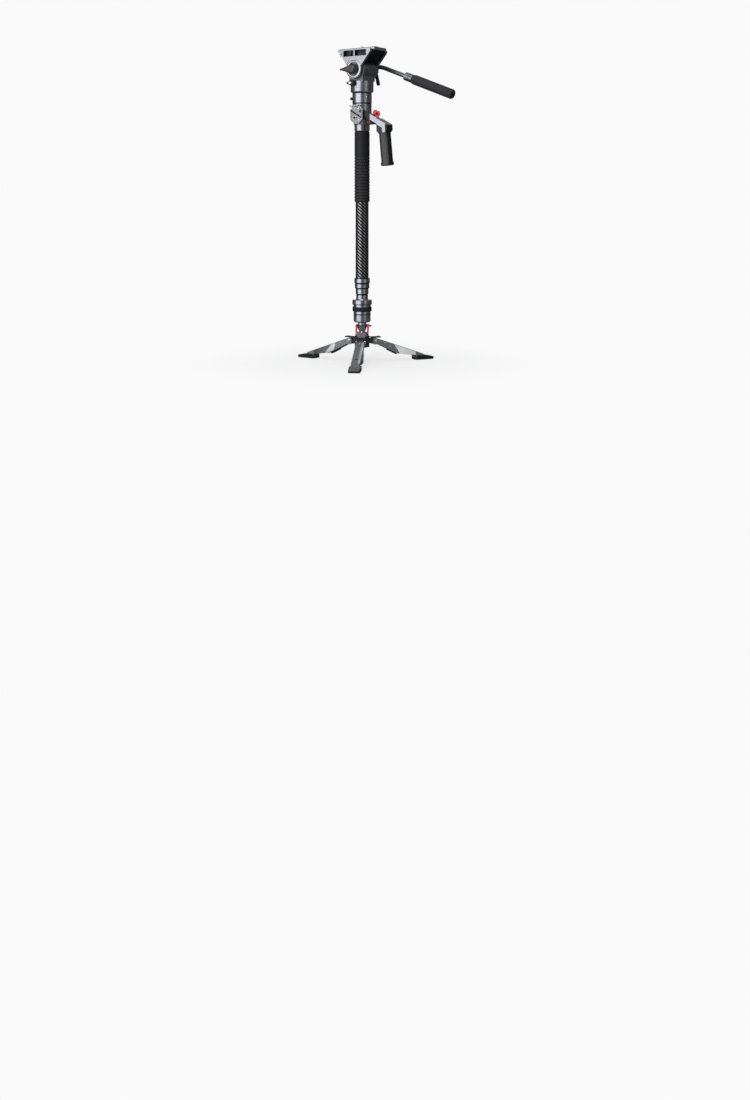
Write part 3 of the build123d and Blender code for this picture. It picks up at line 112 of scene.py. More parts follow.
class Nodes:
    """A short way to add and wire nodes."""

    def __init__(self, tree):
        self.tree = tree

    def add(self, kind, **settings):
        node = self.tree.nodes.new(kind)
        for key, value in settings.items():
            setattr(node, key, value)
        return node

    def wire(self, source, target):
        self.tree.links.new(source, target)

    def math(self, operation, *values):
        node = self.add("ShaderNodeMath", operation=operation)
        for index, value in enumerate(values):
            if isinstance(value, (int, float)):
                node.inputs[index].default_value = value
            else:
                self.wire(value, node.inputs[index])
        return node.outputs[0]

    def ramp(self, value, low, high, new_low, new_high):
        node = self.add("ShaderNodeMapRange")
        node.inputs["From Min"].default_value = low
        node.inputs["From Max"].default_value = high
        node.inputs["To Min"].default_value = new_low
        node.inputs["To Max"].default_value = new_high
        self.wire(value, node.inputs["Value"])
        return node.outputs[0]


class Shader(Nodes):
    """A node material on object coordinates, in metres."""

    def __init__(self, name):
        self.material = bpy.data.materials.new(name)
        self.material.use_nodes = True
        super().__init__(self.material.node_tree)
        self.bsdf = self.tree.nodes["Principled BSDF"]
        self.place = self.add("ShaderNodeTexCoord").outputs["Object"]

    def noise(self, scale, detail=3.0, rough=0.55, stretch=(1, 1, 1)):
        mapping = self.add("ShaderNodeMapping")
        mapping.inputs["Scale"].default_value = stretch
        self.wire(self.place, mapping.inputs["Vector"])
        node = self.add("ShaderNodeTexNoise")
        node.inputs["Scale"].default_value = scale
        node.inputs["Detail"].default_value = detail
        node.inputs["Roughness"].default_value = rough
        self.wire(mapping.outputs[0], node.inputs["Vector"])
        return node.outputs["Fac"]

    def mix(self, share, first, second):
        node = self.add("ShaderNodeMix", data_type="RGBA")
        if isinstance(share, (int, float)):
            node.inputs["Factor"].default_value = share
        else:
            self.wire(share, node.inputs["Factor"])
        for socket, value in ((node.inputs[6], first), (node.inputs[7], second)):
            if isinstance(value, (tuple, list)):
                socket.default_value = (*value, 1) if len(value) == 3 else value
            else:
                self.wire(value, socket)
        return node.outputs[2]

    def axis(self, letter):
        node = self.add("ShaderNodeSeparateXYZ")
        self.wire(self.place, node.inputs[0])
        return node.outputs[letter]

    def bump(self, height, strength, distance):
        node = self.add("ShaderNodeBump")
        node.inputs["Strength"].default_value = strength
        node.inputs["Distance"].default_value = distance
        self.wire(height, node.inputs["Height"])
        self.wire(node.outputs[0], self.bsdf.inputs["Normal"])

    def between(self, value, low, high):
        """1 inside the span, 0 outside."""
        above = self.math("GREATER_THAN", value, low)
        below = self.math("LESS_THAN", value, high)
        return self.math("MULTIPLY", above, below)


def shade(color, factor):
    """A lighter or darker version of a colour."""
    return tuple(min(1.0, part * factor) for part in color)


def metal(name, color, roughness, metallic=1.0, dark_where=None):
    """Satin anodised or turned metal, with cloudy tone, fine grain, rubbed patches and light scratches."""
    s = Shader(name)
    clouds = s.noise(9, 3)
    fine = s.noise(2600, 2, 0.6)
    rubbed = s.ramp(s.noise(34, 5, 0.65), 0.58, 0.78, 0, 1)
    scratches = s.ramp(s.noise(1400, 2, 0.5, (1, 1, 0.04)), 0.62, 0.72, 0, 1)
    base = s.mix(clouds, shade(color, 0.93), shade(color, 1.06))
    base = s.mix(s.math("MULTIPLY", rubbed, 0.12), base, shade(color, 1.3))
    base = s.mix(s.math("MULTIPLY", fine, 0.06), base, shade(color, 0.6))
    if dark_where:
        base = dark_where(s, base)
    s.wire(base, s.bsdf.inputs["Base Color"])
    rough = s.ramp(clouds, 0.3, 0.7, roughness * 0.93, roughness * 1.08)
    rough = s.math("ADD", rough, s.math("MULTIPLY", scratches, 0.06))
    s.wire(s.math("SUBTRACT", rough, s.math("MULTIPLY", rubbed, 0.03)), s.bsdf.inputs["Roughness"])
    s.bsdf.inputs["Metallic"].default_value = metallic
    s.bump(s.math("ADD", fine, s.math("MULTIPLY", scratches, 0.5)), 0.07, 0.00002)
    return s.material


def polymer(name, color, roughness, grain=1500, depth=0.25, specular=0.5, dark_where=None):
    """Moulded plastic, paint or rubber, with a fine grain, dust-pale patches and worn, smoother spots."""
    s = Shader(name)
    clouds = s.noise(22, 4)
    fine = s.noise(grain, 3, 0.65)
    dust = s.ramp(s.noise(70, 5, 0.7), 0.56, 0.8, 0, 1)
    base = s.mix(clouds, shade(color, 0.82), shade(color, 1.22))
    base = s.mix(s.math("MULTIPLY", dust, 0.18), base, shade(color, 1.9))
    if dark_where:
        base = dark_where(s, base)
    s.wire(base, s.bsdf.inputs["Base Color"])
    rough = s.ramp(s.noise(40, 4, 0.6), 0.3, 0.7, roughness * 0.88, min(1, roughness * 1.12))
    s.wire(rough, s.bsdf.inputs["Roughness"])
    s.bsdf.inputs["Specular IOR Level"].default_value = specular
    s.bump(fine, depth, 0.0002)
    return s.material


GUNMETAL = (0.330, 0.336, 0.368)
SILVER = (0.41, 0.415, 0.44)
LEG_GREY = (0.235, 0.238, 0.252)
# The next two leg tones are painted highlight and painted shade: lit and shaded copies of the legs' metal for
# their side plates and edge strip.
LEG_HIGHLIGHT_SILVER = (0.80, 0.805, 0.84)
LEG_SHADE_GREY = (0.12, 0.122, 0.13)
PLAQUE_GREY = (0.20, 0.203, 0.215)
FOOT_GREY = (0.16, 0.16, 0.168)
CAST = (0.021, 0.0215, 0.0235)
CORE_GREY = (0.12, 0.122, 0.131)
BLACK = (0.009, 0.009, 0.010)
RUBBER = (0.011, 0.011, 0.0115)
RED = (0.78, 0.030, 0.042)
STEEL = (0.60, 0.58, 0.55)
KNOB_BROWN = (0.046, 0.042, 0.037)
INSERT_GREY = (0.062, 0.062, 0.062)
POLISHED = (0.80, 0.80, 0.78)
WHITE = (0.85, 0.85, 0.85)
RESIN = (0.003, 0.003, 0.003)
TOW_GREY = (0.27, 0.27, 0.27)

# Weave of the tubes: slanting tows round the tube, their rise to a turn, and the finer crossing threads
CARBON_STARTS = 11
CARBON_RISE = 8.6
CARBON_THREADS = 4
CARBON_CROSS_STARTS = 56
CARBON_CROSS_RISE = 2.4


def carbon():
    """Twill carbon tube: slanting tows with a paler sheen, crossed by finer threads, under clear resin."""
    s = Shader("carbon_twill")
    x = s.math("SUBTRACT", s.axis("X"), COLUMN_X)
    angle = s.math("ARCTAN2", s.axis("Y"), x)
    up = s.math("MULTIPLY", s.axis("Z"), 2 * math.pi / MM)
    wobble = s.ramp(s.noise(60, 2), 0, 1, -0.5, 0.5)
    phase = s.math(
        "ADD",
        s.math("ADD", s.math("MULTIPLY", angle, CARBON_STARTS), wobble),
        s.math("MULTIPLY", up, 1 / CARBON_RISE),
    )
    stripe = s.ramp(s.math("SINE", phase), 0.0, 0.4, 0, 1)
    threads = s.ramp(s.math("SINE", s.math("MULTIPLY", phase, CARBON_THREADS)), -1, 1, 0.82, 1)
    cross = s.math(
        "SINE",
        s.math(
            "SUBTRACT",
            s.math("MULTIPLY", angle, CARBON_CROSS_STARTS),
            s.math("MULTIPLY", up, 1 / CARBON_CROSS_RISE),
        ),
    )
    weave = s.math("MULTIPLY", threads, s.ramp(cross, -1, 1, 0.85, 1))
    cloud = s.ramp(s.noise(30, 4), 0.3, 0.7, 0.8, 1.1)
    glint = s.math("MULTIPLY", s.math("MULTIPLY", stripe, weave), cloud)
    base = s.mix(glint, RESIN, TOW_GREY)
    s.wire(base, s.bsdf.inputs["Base Color"])
    s.wire(s.ramp(glint, 0, 0.6, 0.0, 1.0), s.bsdf.inputs["Metallic"])
    s.wire(s.ramp(glint, 0, 1, 0.31, 0.33), s.bsdf.inputs["Roughness"])
    s.bsdf.inputs["Specular IOR Level"].default_value = 0.08
    s.bump(weave, 0.15, 0.0001)
    return s.material


def grooves_at(heights, half_width):
    """Darkens round grooves at these heights."""

    def darken(s, base):
        up = s.axis("Z")
        for height in heights:
            inside = s.between(up, (height - half_width) * MM, (height + half_width) * MM)
            base = s.mix(s.math("MULTIPLY", inside, SEAM_DARKNESS), base, BLACK)
        return base

    return darken


# Where the finishes of one piece change
SEAM_DARKNESS = 0.93
COLLAR_SEAM = 1.9
RING_SEAM = 1.8
HOUSING_SEAM = 0.9
CHEEK_INNER = 29.0
ARM_ROOT_END = 49
CORE_PAINT_LOW = 731
KNOB_FACE = -45.4
FOOT_COVER_HALF = 13.9
FOOT_COVER_LOW = 5.6
GRIP_LEAN_DEG = 6.0
GRIP_TOP = (90.0, 604.0)
GRIP_MIDDLE_Y = -23.0
INSERT_START = -4.5
INSERT_END = 11.6
ELBOW_X = 105.0
ARM_TOP_AT_ELBOW = 614.0
ARM_SLOPE = 0.5114
ARM_DEPTH = 15.0
# Span of the painted highlight down the cuff's front, and the depth of the highlight band under the arm's top
# line
CUFF_HIGHLIGHT_START = 2.0
CUFF_HIGHLIGHT_END = 11.4
CUFF_TOP_DEPTH = 1.0


def shade_between_cheeks(s, base):
    """The webs and deck between the cheeks are coloured dark: painted shade between the cheeks."""
    across = s.math("ABSOLUTE", s.axis("Y"))
    return s.mix(s.math("LESS_THAN", across, CHEEK_INNER * MM), base, CAST)


def dark_core(s, base):
    """The upper part of the head's core is painted dark; the pan drum below stays bare."""
    painted = s.math("GREATER_THAN", s.axis("Z"), CORE_PAINT_LOW * MM)
    s.wire(s.ramp(painted, 0, 1, 1.0, 0.3), s.bsdf.inputs["Metallic"])
    return s.mix(painted, base, CORE_GREY)


def knob_side_painted_shade(s, base):
    """The wing lever's side is coloured black as painted shade; its raised face keeps its own paler colour.
    """
    return s.mix(s.math("GREATER_THAN", s.axis("Y"), KNOB_FACE * MM), base, shade(BLACK, 1.4))


def dark_arm_root(s, base):
    """The arm is dark as far as its bright cover."""
    along = s.axis("X")
    return s.mix(s.math("LESS_THAN", along, COLUMN_X + ARM_ROOT_END * MM), base, shade(CAST, 1.6))


def along_grip(s):
    """Distance from the side grip's middle along its depth, in metres, leaning with the grip."""
    lean = math.radians(GRIP_LEAN_DEG)
    x = s.math("SUBTRACT", s.axis("X"), COLUMN_X + GRIP_TOP[0] * MM)
    z = s.math("SUBTRACT", s.axis("Z"), GRIP_TOP[1] * MM)
    return s.math("ADD", s.math("MULTIPLY", x, math.cos(lean)), s.math("MULTIPLY", z, math.sin(lean)))


def insert_in_front(s, base):
    """The grip has a paler insert down its front edge."""
    along = along_grip(s)
    front = s.math("LESS_THAN", s.axis("Y"), GRIP_MIDDLE_Y * MM)
    inside = s.math("MULTIPLY", front, s.between(along, INSERT_START * MM, INSERT_END * MM))
    return s.mix(inside, base, INSERT_GREY)


def cuff_highlight_and_shade(s, base):
    """The cuff over the grip keeps a painted highlight along its front edge and as high as the arm, and is
    coloured dark elsewhere as painted shade.
    """
    along = along_grip(s)
    front = s.math("LESS_THAN", s.axis("Y"), GRIP_MIDDLE_Y * MM)
    lower_line = s.math("MULTIPLY", s.math("SUBTRACT", COLUMN_X + ELBOW_X * MM, s.axis("X")), ARM_SLOPE)
    lower_line = s.math("ADD", lower_line, (ARM_TOP_AT_ELBOW - ARM_DEPTH) * MM)
    beside_arm = s.math("GREATER_THAN", s.axis("Z"), lower_line)
    in_band = s.math("GREATER_THAN", along, CUFF_HIGHLIGHT_START * MM)
    before_end = s.math("LESS_THAN", along, CUFF_HIGHLIGHT_END * MM)
    bright = s.math("MULTIPLY", s.math("MAXIMUM", beside_arm, in_band), before_end)
    upper_line = s.math("ADD", lower_line, (ARM_DEPTH - CUFF_TOP_DEPTH) * MM)
    on_top = s.math("GREATER_THAN", s.axis("Z"), upper_line)
    bright = s.math("MAXIMUM", s.math("MULTIPLY", front, bright), on_top)
    return s.mix(bright, shade(GUNMETAL, 0.14), base)


materials = {
    "gunmetal": metal("gunmetal", GUNMETAL, 0.30),
    "silver": metal("silver", SILVER, 0.32),
    "bracket": metal("bracket", shade(SILVER, 0.68), 0.34),
    # Silver cheeks with painted shade on the webs and deck between them.
    "cheek": metal("cheek", SILVER, 0.32, dark_where=shade_between_cheeks),
    "arm": metal("arm", SILVER, 0.32, dark_where=dark_arm_root),
    # Silver cuff and elbow cover with a painted highlight down the front and painted shade on the other
    # sides.
    "cuff": metal("cuff", SILVER, 0.32, dark_where=cuff_highlight_and_shade),
    "core": metal("core", GUNMETAL, 0.32, dark_where=dark_core),
    "collar": metal("handle_collar_finish", shade(GUNMETAL, 0.7), 0.32),
    "rod": metal("rod", shade(GUNMETAL, 0.5), 0.28),
    "steel": metal("steel", STEEL, 0.22),
    # Polished pale finish of the painted highlight on the pan knob's wing
    "bright": metal("bright", POLISHED, 0.25, metallic=0.7),
    "plaque": metal("plaque", PLAQUE_GREY, 0.45, metallic=0.4),
    "leg_metal": metal("leg_metal", LEG_GREY, 0.40, metallic=0.55),
    # Painted highlight and painted shade for the legs: the corner plate, edge strip and one side plate get
    # lit tones, the other side plate a shaded tone.
    "leg_corner_highlight": metal("leg_corner_highlight", shade(LEG_HIGHLIGHT_SILVER, 0.78), 0.38, metallic=0.35),
    "leg_ridge": metal("leg_ridge", shade(LEG_HIGHLIGHT_SILVER, 0.72), 0.36, metallic=0.4),
    "leg_outer_highlight": metal("leg_outer_highlight", shade(LEG_HIGHLIGHT_SILVER, 1.2), 0.36, metallic=0.2),
    "leg_side_shade": metal("leg_side_shade", LEG_SHADE_GREY, 0.40, metallic=0.5),
    "red": metal("red_anodised", RED, 0.34, metallic=0.25),
    "carbon": carbon(),
    "cast": polymer("cast_dark", CAST, 0.46, 900, 0.2, 0.4),
    "rubber": polymer("rubber", RUBBER, 0.66, 1100, 0.4, 0.25),
    "stud_rubber": polymer("stud_rubber", shade(RUBBER, 2.0), 0.42, 1100, 0.2, 0.45),
    "foam": polymer("foam", shade(RUBBER, 1.8), 0.70, 700, 0.6, 0.3),
    "plastic": polymer("black_plastic", BLACK, 0.40, 1700, 0.2, 0.35),
    "grip_plastic": polymer("grip_plastic", shade(BLACK, 0.7), 0.42, 1500, 0.2, 0.22, insert_in_front),
    # The wing lever's side carries painted shade.
    "knob_plastic": polymer("knob_plastic", KNOB_BROWN, 0.40, 1300, 0.2, 0.45, knob_side_painted_shade),
    "white": polymer("white_mark", WHITE, 0.5),
}


def seamed_metal(node, half_width=COLLAR_SEAM):
    """Dark metal with dark seams at both ends of the piece."""
    ends = (low_z(node), high_z(node))
    return metal(f"{node}_finish", GUNMETAL, 0.28, dark_where=grooves_at(ends, half_width))


def foot_rubber(name, azimuth):
    """Black rubber with a grey cover over the top and the toe, but not over the sides or the sole."""
    s = Shader(name)
    angle = math.radians(azimuth)
    x = s.math("SUBTRACT", s.axis("X"), COLUMN_X)
    across = s.math(
        "SUBTRACT", s.math("MULTIPLY", s.axis("Y"), math.cos(angle)), s.math("MULTIPLY", x, math.sin(angle)),
    )
    across = s.math("ABSOLUTE", across)
    covered = s.math(
        "MULTIPLY",
        s.math("LESS_THAN", across, FOOT_COVER_HALF * MM),
        s.math("GREATER_THAN", s.axis("Z"), FOOT_COVER_LOW * MM),
    )
    grain = s.noise(1200, 3, 0.65)
    cloud = s.noise(30, 4)
    rubber = s.mix(cloud, shade(RUBBER, 0.85), shade(RUBBER, 1.4))
    cover = s.mix(cloud, shade(FOOT_GREY, 0.9), shade(FOOT_GREY, 1.1))
    s.wire(s.mix(covered, rubber, cover), s.bsdf.inputs["Base Color"])
    s.wire(s.ramp(covered, 0, 1, 0.66, 0.42), s.bsdf.inputs["Roughness"])
    s.wire(s.math("MULTIPLY", covered, 0.4), s.bsdf.inputs["Metallic"])
    s.bsdf.inputs["Specular IOR Level"].default_value = 0.25
    s.bump(grain, 0.25, 0.0001)
    return s.material


def paint(node, material):
    """Puts one finish on a node."""
    slots = nodes[node].data.materials
    slots.clear()
    slots.append(material)


FINISHES = {
    "gunmetal": ("base_lock_ring", "clutch_housing", "ball_stem"),
    "rod": ("pan_handle_rod",),
    "collar": ("handle_collar",),
    "leg_metal": ("leg_1", "leg_2", "leg_3"),
    "silver": ("camera_plate",),
    "bracket": ("octagon_bracket",),
    "cheek": ("tilt_platform",),
    "arm": ("side_arm",),
    "steel": (
        "leg_pins", "camera_screw", "plate_pin", "tilt_shaft", "damper_rotor",
        "drive_rod_1", "drive_rod_2", "drive_rod_3",
    ),
    "plaque": ("ball_clamp",),
    "cast": ("leg_hub", "leg_latch_1", "leg_latch_2", "leg_latch_3"),
    "core": ("head_core",),
    "carbon": ("tube_1", "tube_2", "tube_3", "tube_4"),
    "rubber": (
        "column_grip", "base_lock_grip", "neck_seal", "leg_pad_1", "leg_pad_2", "leg_pad_3",
    ),
    "foam": ("pan_handle_grip",),
    "plastic": (
        "clutch_2", "clutch_3", "clutch_4", "head_release_button", "housing_knob",
        "pan_lock_knob", "plate_clamp_knob", "plate_release_button", "rosette_lever",
    ),
    "grip_plastic": ("side_grip",),
    "knob_plastic": ("tilt_lock_lever",),
    "red": ("ball_lock_lever", "trigger"),
}


def paint_nodes():
    """Gives every carried-over node its finish."""
    for finish, names in FINISHES.items():
        for name in names:
            paint(name, materials[finish])
    for name in ("collar_1", "collar_2", "collar_3", "base_adapter", "head_adapter"):
        paint(name, seamed_metal(name))
    paint("head_lock_ring", seamed_metal("head_lock_ring", RING_SEAM))
    paint("damper_housing", seamed_metal("damper_housing", HOUSING_SEAM))
    for number, azimuth in LEG_AZIMUTHS.items():
        paint(f"leg_foot_{number}", foot_rubber(f"foot_rubber_{number}", azimuth))


# Building new pieces

SHARP_EDGE_DEG = 32


def finish_piece(name, build, material, body, turn=0.0):
    """Makes the mesh in metres, turned about the column, and lets it ride a body."""
    turn_matrix = Matrix.Rotation(math.radians(turn), 4, "Z")
    move = Matrix.Translation((COLUMN_X, 0, 0)) @ Matrix.Scale(MM, 4)
    build.transform(move @ turn_matrix)
    bmesh.ops.recalc_face_normals(build, faces=build.faces)
    data = bpy.data.meshes.new(name)
    build.to_mesh(data)
    build.free()
    data.shade_smooth()
    data.set_sharp_from_angle(angle=math.radians(SHARP_EDGE_DEG))
    data.materials.append(materials[material])
    piece = bpy.data.objects.new(name, data)
    scene.collection.objects.link(piece)
    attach(piece, body)
    return piece


def basis(normal):
    """Two directions across a normal, and the normal."""
    normal = Vector(normal).normalized()
    helper = Vector((0, 0, 1)) if abs(normal.z) < 0.9 else Vector((1, 0, 0))
    side = helper.cross(normal).normalized()
    return side, normal.cross(side), normal


def round_rings(origin, normal, profile, count, flats=0, flat_rings=()):
    """Rings of points about an axis, one for each (radius, height). Rings in flat_rings get flats."""
    side, up, normal = basis(normal)
    rings = []
    for index, (radius, height) in enumerate(profile):
        ring = []
        for step in range(count):
            angle = 2 * math.pi * step / count
            reach = radius
            if index in flat_rings:
                sector = math.pi / flats
                reach = radius * math.cos(sector) / math.cos((angle % (2 * sector)) - sector)
            spoke = side * math.cos(angle) + up * math.sin(angle)
            ring.append(Vector(origin) + spoke * reach + normal * height)
        rings.append(ring)
    return rings


def add_loft(build, rings, closed=False):
    """Skins rings that have equal numbers of points. A closed skin joins up, another has its ends filled."""
    made = [[build.verts.new(point) for point in ring] for ring in rings]
    for lower, upper in zip(made, made[1:] + made[:1] if closed else made[1:]):
        for index in range(len(lower)):
            after = (index + 1) % len(lower)
            build.faces.new((lower[index], lower[after], upper[after], upper[index]))
    if not closed:
        build.faces.new(made[0])
        build.faces.new(made[-1])


def add_turned(build, origin, normal, profile, count=32):
    """A solid turned about an axis from (radius, height) points."""
    add_loft(build, round_rings(origin, normal, profile, count))


def add_ring(build, origin, normal, profile, count=64):
    """An open ring turned about an axis from a closed outline of (radius, height) points."""
    add_loft(build, round_rings(origin, normal, profile, count), closed=True)


def add_plate(build, points, thickness, bevel=0.0):
    """A plate on a flat outline of 3-D points, thickened along its normal, with bevelled edges."""
    part = bmesh.new()
    low = [part.verts.new(point) for point in points]
    face = part.faces.new(low)
    part.normal_update()
    lift = face.normal * thickness
    high = [part.verts.new(Vector(point) + lift) for point in points]
    part.faces.new(reversed(high))
    for index, vertex in enumerate(low):
        after = (index + 1) % len(low)
        part.faces.new((low[after], vertex, high[index], high[after]))
    if bevel:
        bmesh.ops.bevel(part, geom=list(part.edges), offset=bevel, segments=2, profile=0.6, affect="EDGES")
    data = bpy.data.meshes.new("part")
    part.to_mesh(data)
    part.free()
    build.from_mesh(data)
    bpy.data.meshes.remove(data)


def add_box(build, low, high, bevel):
    """A bevelled block between two corners."""
    x, y, z = low
    far_x, far_y, far_z = high
    add_plate(build, [(x, y, z), (far_x, y, z), (far_x, far_y, z), (x, far_y, z)], far_z - z, bevel)


def add_socket_screw(build, place, normal, radius, rise):
    """A button-head screw with a six-sided socket."""
    profile = (
        (radius * 0.98, 0), (radius, rise * 0.35), (radius * 0.86, rise * 0.85), (radius * 0.7, rise),
        (radius * 0.5, rise), (radius * 0.48, rise * 0.1),
    )
    add_loft(build, round_rings(place, normal, profile, 36, flats=6, flat_rings=(4, 5)))


def on_wall(radius, azimuth, height):
    """A point on an upright round wall."""
    angle = math.radians(azimuth)
    return (radius * math.cos(angle), radius * math.sin(angle), height)


def outward(azimuth):
    """The level direction away from the column."""
    angle = math.radians(azimuth)
    return (math.cos(angle), math.sin(angle), 0)


# Legs. Points are (distance from the column's axis, height), before the leg is turned to its place

LEG_SIDE = 11.0
LEG_TOP_START = (35.0, 63.0)
LEG_TOP_END = (174.0, 15.0)
LEG_SLOPE = math.atan2(LEG_TOP_START[1] - LEG_TOP_END[1], LEG_TOP_END[0] - LEG_TOP_START[0])
LEG_TOP_NORMAL = (math.sin(LEG_SLOPE), 0, math.cos(LEG_SLOPE))
TRIM_SUNK = 0.2

HINGE_DISTANCE = 35.0
HINGE_HEIGHT = 56.0
PIN_HEAD_RISE = 1.2
BOLT_SUNK = 0.1
BOLT_SEAT = LEG_SIDE + PIN_HEAD_RISE - BOLT_SUNK
BOLT_RADIUS = 4.3
BOLT_RISE = 0.9

SIDE_SCREWS = ((62.0, 48.5), (77.0, 39.5))
SIDE_SCREW_RADIUS = 2.1
SIDE_SCREW_RISE = 0.7
TOP_SCREW_DISTANCE = 56.0
TOP_SCREW_RADIUS = 2.4
TOP_SCREW_RISE = 0.8

SIDE_PLATE = ((88.0, 43.6), (103.0, 19.2), (132.0, 15.5), (150.0, 13.2), (150.0, 22.2))
SIDE_PLATE_RISES = (0.6, 3.6, 5.6, 2.2, 0.4)
CORNER_PLATE = ((78.0, 47.4), (82.0, 27.6), (103.0, 19.4), (110.0, 18.0), (93.0, 41.2))
CORNER_PLATE_RISES = (0.8, 2.6, 3.9, 4.3, 1.2)
PLATE_BEVEL = 0.15

RIDGE_TIPS = (50.0, 163.0)
RIDGE_STATIONS = (RIDGE_TIPS[0], 54.0, 100.0, 158.0, RIDGE_TIPS[1])
RIDGE_INNER = 5.0
RIDGE_TIP_SET_IN = 1.6

MARK_HOLES = ((66.0, 2.6), (72.0, -2.6))
MARK_HOLE_PROFILE = ((1.2, 0), (1.2, 0.3), (0.9, 0.32), (0.8, 0.1))
MARK_HOLE_SUNK = 0.15
SLOT_DISTANCE = 140.0
SLOT_HALF_ALONG = 2.6
SLOT_HALF_ACROSS = 4.2
SLOT_SUNK = 0.1
SLOT_THICKNESS = 0.35
SLOT_STEPS = 24


def leg_top_at(distance):
    """Height of the leg's top face."""
    (start, start_height), (end, end_height) = LEG_TOP_START, LEG_TOP_END
    return start_height + (distance - start) * (end_height - start_height) / (end - start)


def make_leg_parts():
    """Screws, side plates, edge strip and marks of each leg, and the faces of the hinge bolts."""
    bolts = bmesh.new()
    for number, azimuth in LEG_AZIMUTHS.items():
        turned = Matrix.Rotation(math.radians(azimuth), 3, "Z")
        for side in (-1, 1):
            place = turned @ Vector((HINGE_DISTANCE, side * BOLT_SEAT, HINGE_HEIGHT))
            add_socket_screw(bolts, place, turned @ Vector((0, side, 0)), BOLT_RADIUS, BOLT_RISE)
        make_leg_screws(number, azimuth)
        make_leg_plates(number, azimuth)
        make_leg_ridge(number, azimuth)
        make_leg_marks(number, azimuth)
    finish_piece("hinge_bolt_faces", bolts, "steel", "base")


def make_leg_screws(number, azimuth):
    """Two screws in each side of a leg and one in its top."""
    screws = bmesh.new()
    for distance, height in SIDE_SCREWS:
        for side in (-1, 1):
            place = (distance, side * (LEG_SIDE - TRIM_SUNK), height)
            add_socket_screw(screws, place, (0, side, 0), SIDE_SCREW_RADIUS, SIDE_SCREW_RISE)
    place = (TOP_SCREW_DISTANCE, 0, leg_top_at(TOP_SCREW_DISTANCE) - TRIM_SUNK)
    add_socket_screw(screws, place, LEG_TOP_NORMAL, TOP_SCREW_RADIUS, TOP_SCREW_RISE)
    finish_piece(f"leg_screws_{number}", screws, "steel", f"leg_{number}", azimuth)


def make_leg_plates(number, azimuth):
    """Side plates from the knee to the foot, coloured as painted light: a painted highlight on one side's
    plate, painted shade on the other side's plate, and a painted highlight on a corner plate over that shade.
    """
    for name, side, outline, rises, finish, slot_name in (
        ("bright", -1, SIDE_PLATE, SIDE_PLATE_RISES, "leg_outer_highlight", "silver"),
        ("dark", 1, SIDE_PLATE, SIDE_PLATE_RISES, "leg_side_shade", "gunmetal"),
        ("corner", 1, CORNER_PLATE, CORNER_PLATE_RISES, "leg_corner_highlight", "silver"),
    ):
        flat = [(distance, side * (LEG_SIDE - TRIM_SUNK), height) for distance, height in outline]
        raised = [
            (distance, side * (LEG_SIDE + rise), height) for (distance, height), rise in zip(outline, rises)
        ]
        plate = bmesh.new()
        add_loft(plate, [flat, raised])
        bmesh.ops.bevel(
            plate, geom=list(plate.edges), offset=PLATE_BEVEL, segments=2, profile=0.6, affect="EDGES",
        )
        finish_piece(f"leg_plate_{name}_{number}", plate, finish, f"leg_{number}", azimuth)


def ridge_section(inner):
    """(across, height over the leg's top face) points round the edge strip."""
    return (
        (inner, -0.3), (inner, 0.25), (inner + 0.7, 0.75),
        (LEG_SIDE - 0.2, 0.3), (LEG_SIDE + 0.25, -0.4), (LEG_SIDE - 0.3, -0.6),
    )


def make_leg_ridge(number, azimuth):
    """A sloping strip along one edge of the leg's top face, narrower at its tips, coloured pale as a painted
    highlight where that edge catches the light.
    """
    ridge = bmesh.new()
    rings = []
    for distance in RIDGE_STATIONS:
        inner = RIDGE_INNER + (RIDGE_TIP_SET_IN if distance in RIDGE_TIPS else 0.0)
        top = leg_top_at(distance)
        rings.append([(distance, across, top + rise) for across, rise in ridge_section(inner)])
    add_loft(ridge, rings)
    finish_piece(f"leg_ridge_{number}", ridge, "leg_ridge", f"leg_{number}", azimuth)


def make_leg_marks(number, azimuth):
    """Dark holes and the oval slot in the leg's top face."""
    marks = bmesh.new()
    for distance, across in MARK_HOLES:
        place = Vector((distance, across, leg_top_at(distance) - MARK_HOLE_SUNK))
        add_turned(marks, place, LEG_TOP_NORMAL, MARK_HOLE_PROFILE, count=24)
    along = Vector((math.cos(LEG_SLOPE), 0, -math.sin(LEG_SLOPE)))
    across = Vector((0, 1, 0))
    centre = Vector((SLOT_DISTANCE, 0, leg_top_at(SLOT_DISTANCE) - SLOT_SUNK))
    outline = []
    for step in range(SLOT_STEPS):
        angle = 2 * math.pi * step / SLOT_STEPS
        point = centre + along * (SLOT_HALF_ALONG * math.sin(angle))
        outline.append(point + across * (SLOT_HALF_ACROSS * math.cos(angle)))
    add_plate(marks, outline, -SLOT_THICKNESS, bevel=0.1)
    finish_piece(f"leg_marks_{number}", marks, "plastic", f"leg_{number}", azimuth)


# Pan unit and the neck under it

HOUSING_RING_RISE = 20.5
HOUSING_RING_PROFILE = ((-0.4, -1.5), (0.1, -1.3), (0.3, -0.8), (0.3, 0.8), (0.1, 1.3), (-0.4, 1.5))

NECK_LOW_RADIUS = 6.0
NECK_HIGH_RADIUS = 10.8
# Black fins that stand in for the shade inside the lock lever's arms
FIN_AZIMUTH = 30 + LEG_TURN
FIN_HALF_THICKNESS = 1.7
FIN_ROOT = -0.8
FIN_LOW_REACH = 1.8
FIN_HIGH_REACH = 1.7
FIN_GAP_BELOW = 3.4
FIN_GAP_ABOVE = 0.4
FIN_LOW_SLANT = 0.5
FIN_TIP_HEIGHT = 1.2


def make_housing_ring():
    """A dark ring let into the pan unit's casing."""
    ring = bmesh.new()
    wall = reach_y("damper_housing")
    profile = [(wall + out, rise) for out, rise in HOUSING_RING_PROFILE]
    add_ring(ring, (0, 0, low_z("damper_housing") + HOUSING_RING_RISE), (0, 0, 1), profile, count=96)
    finish_piece("housing_ring", ring, "rubber", "fluid_unit")


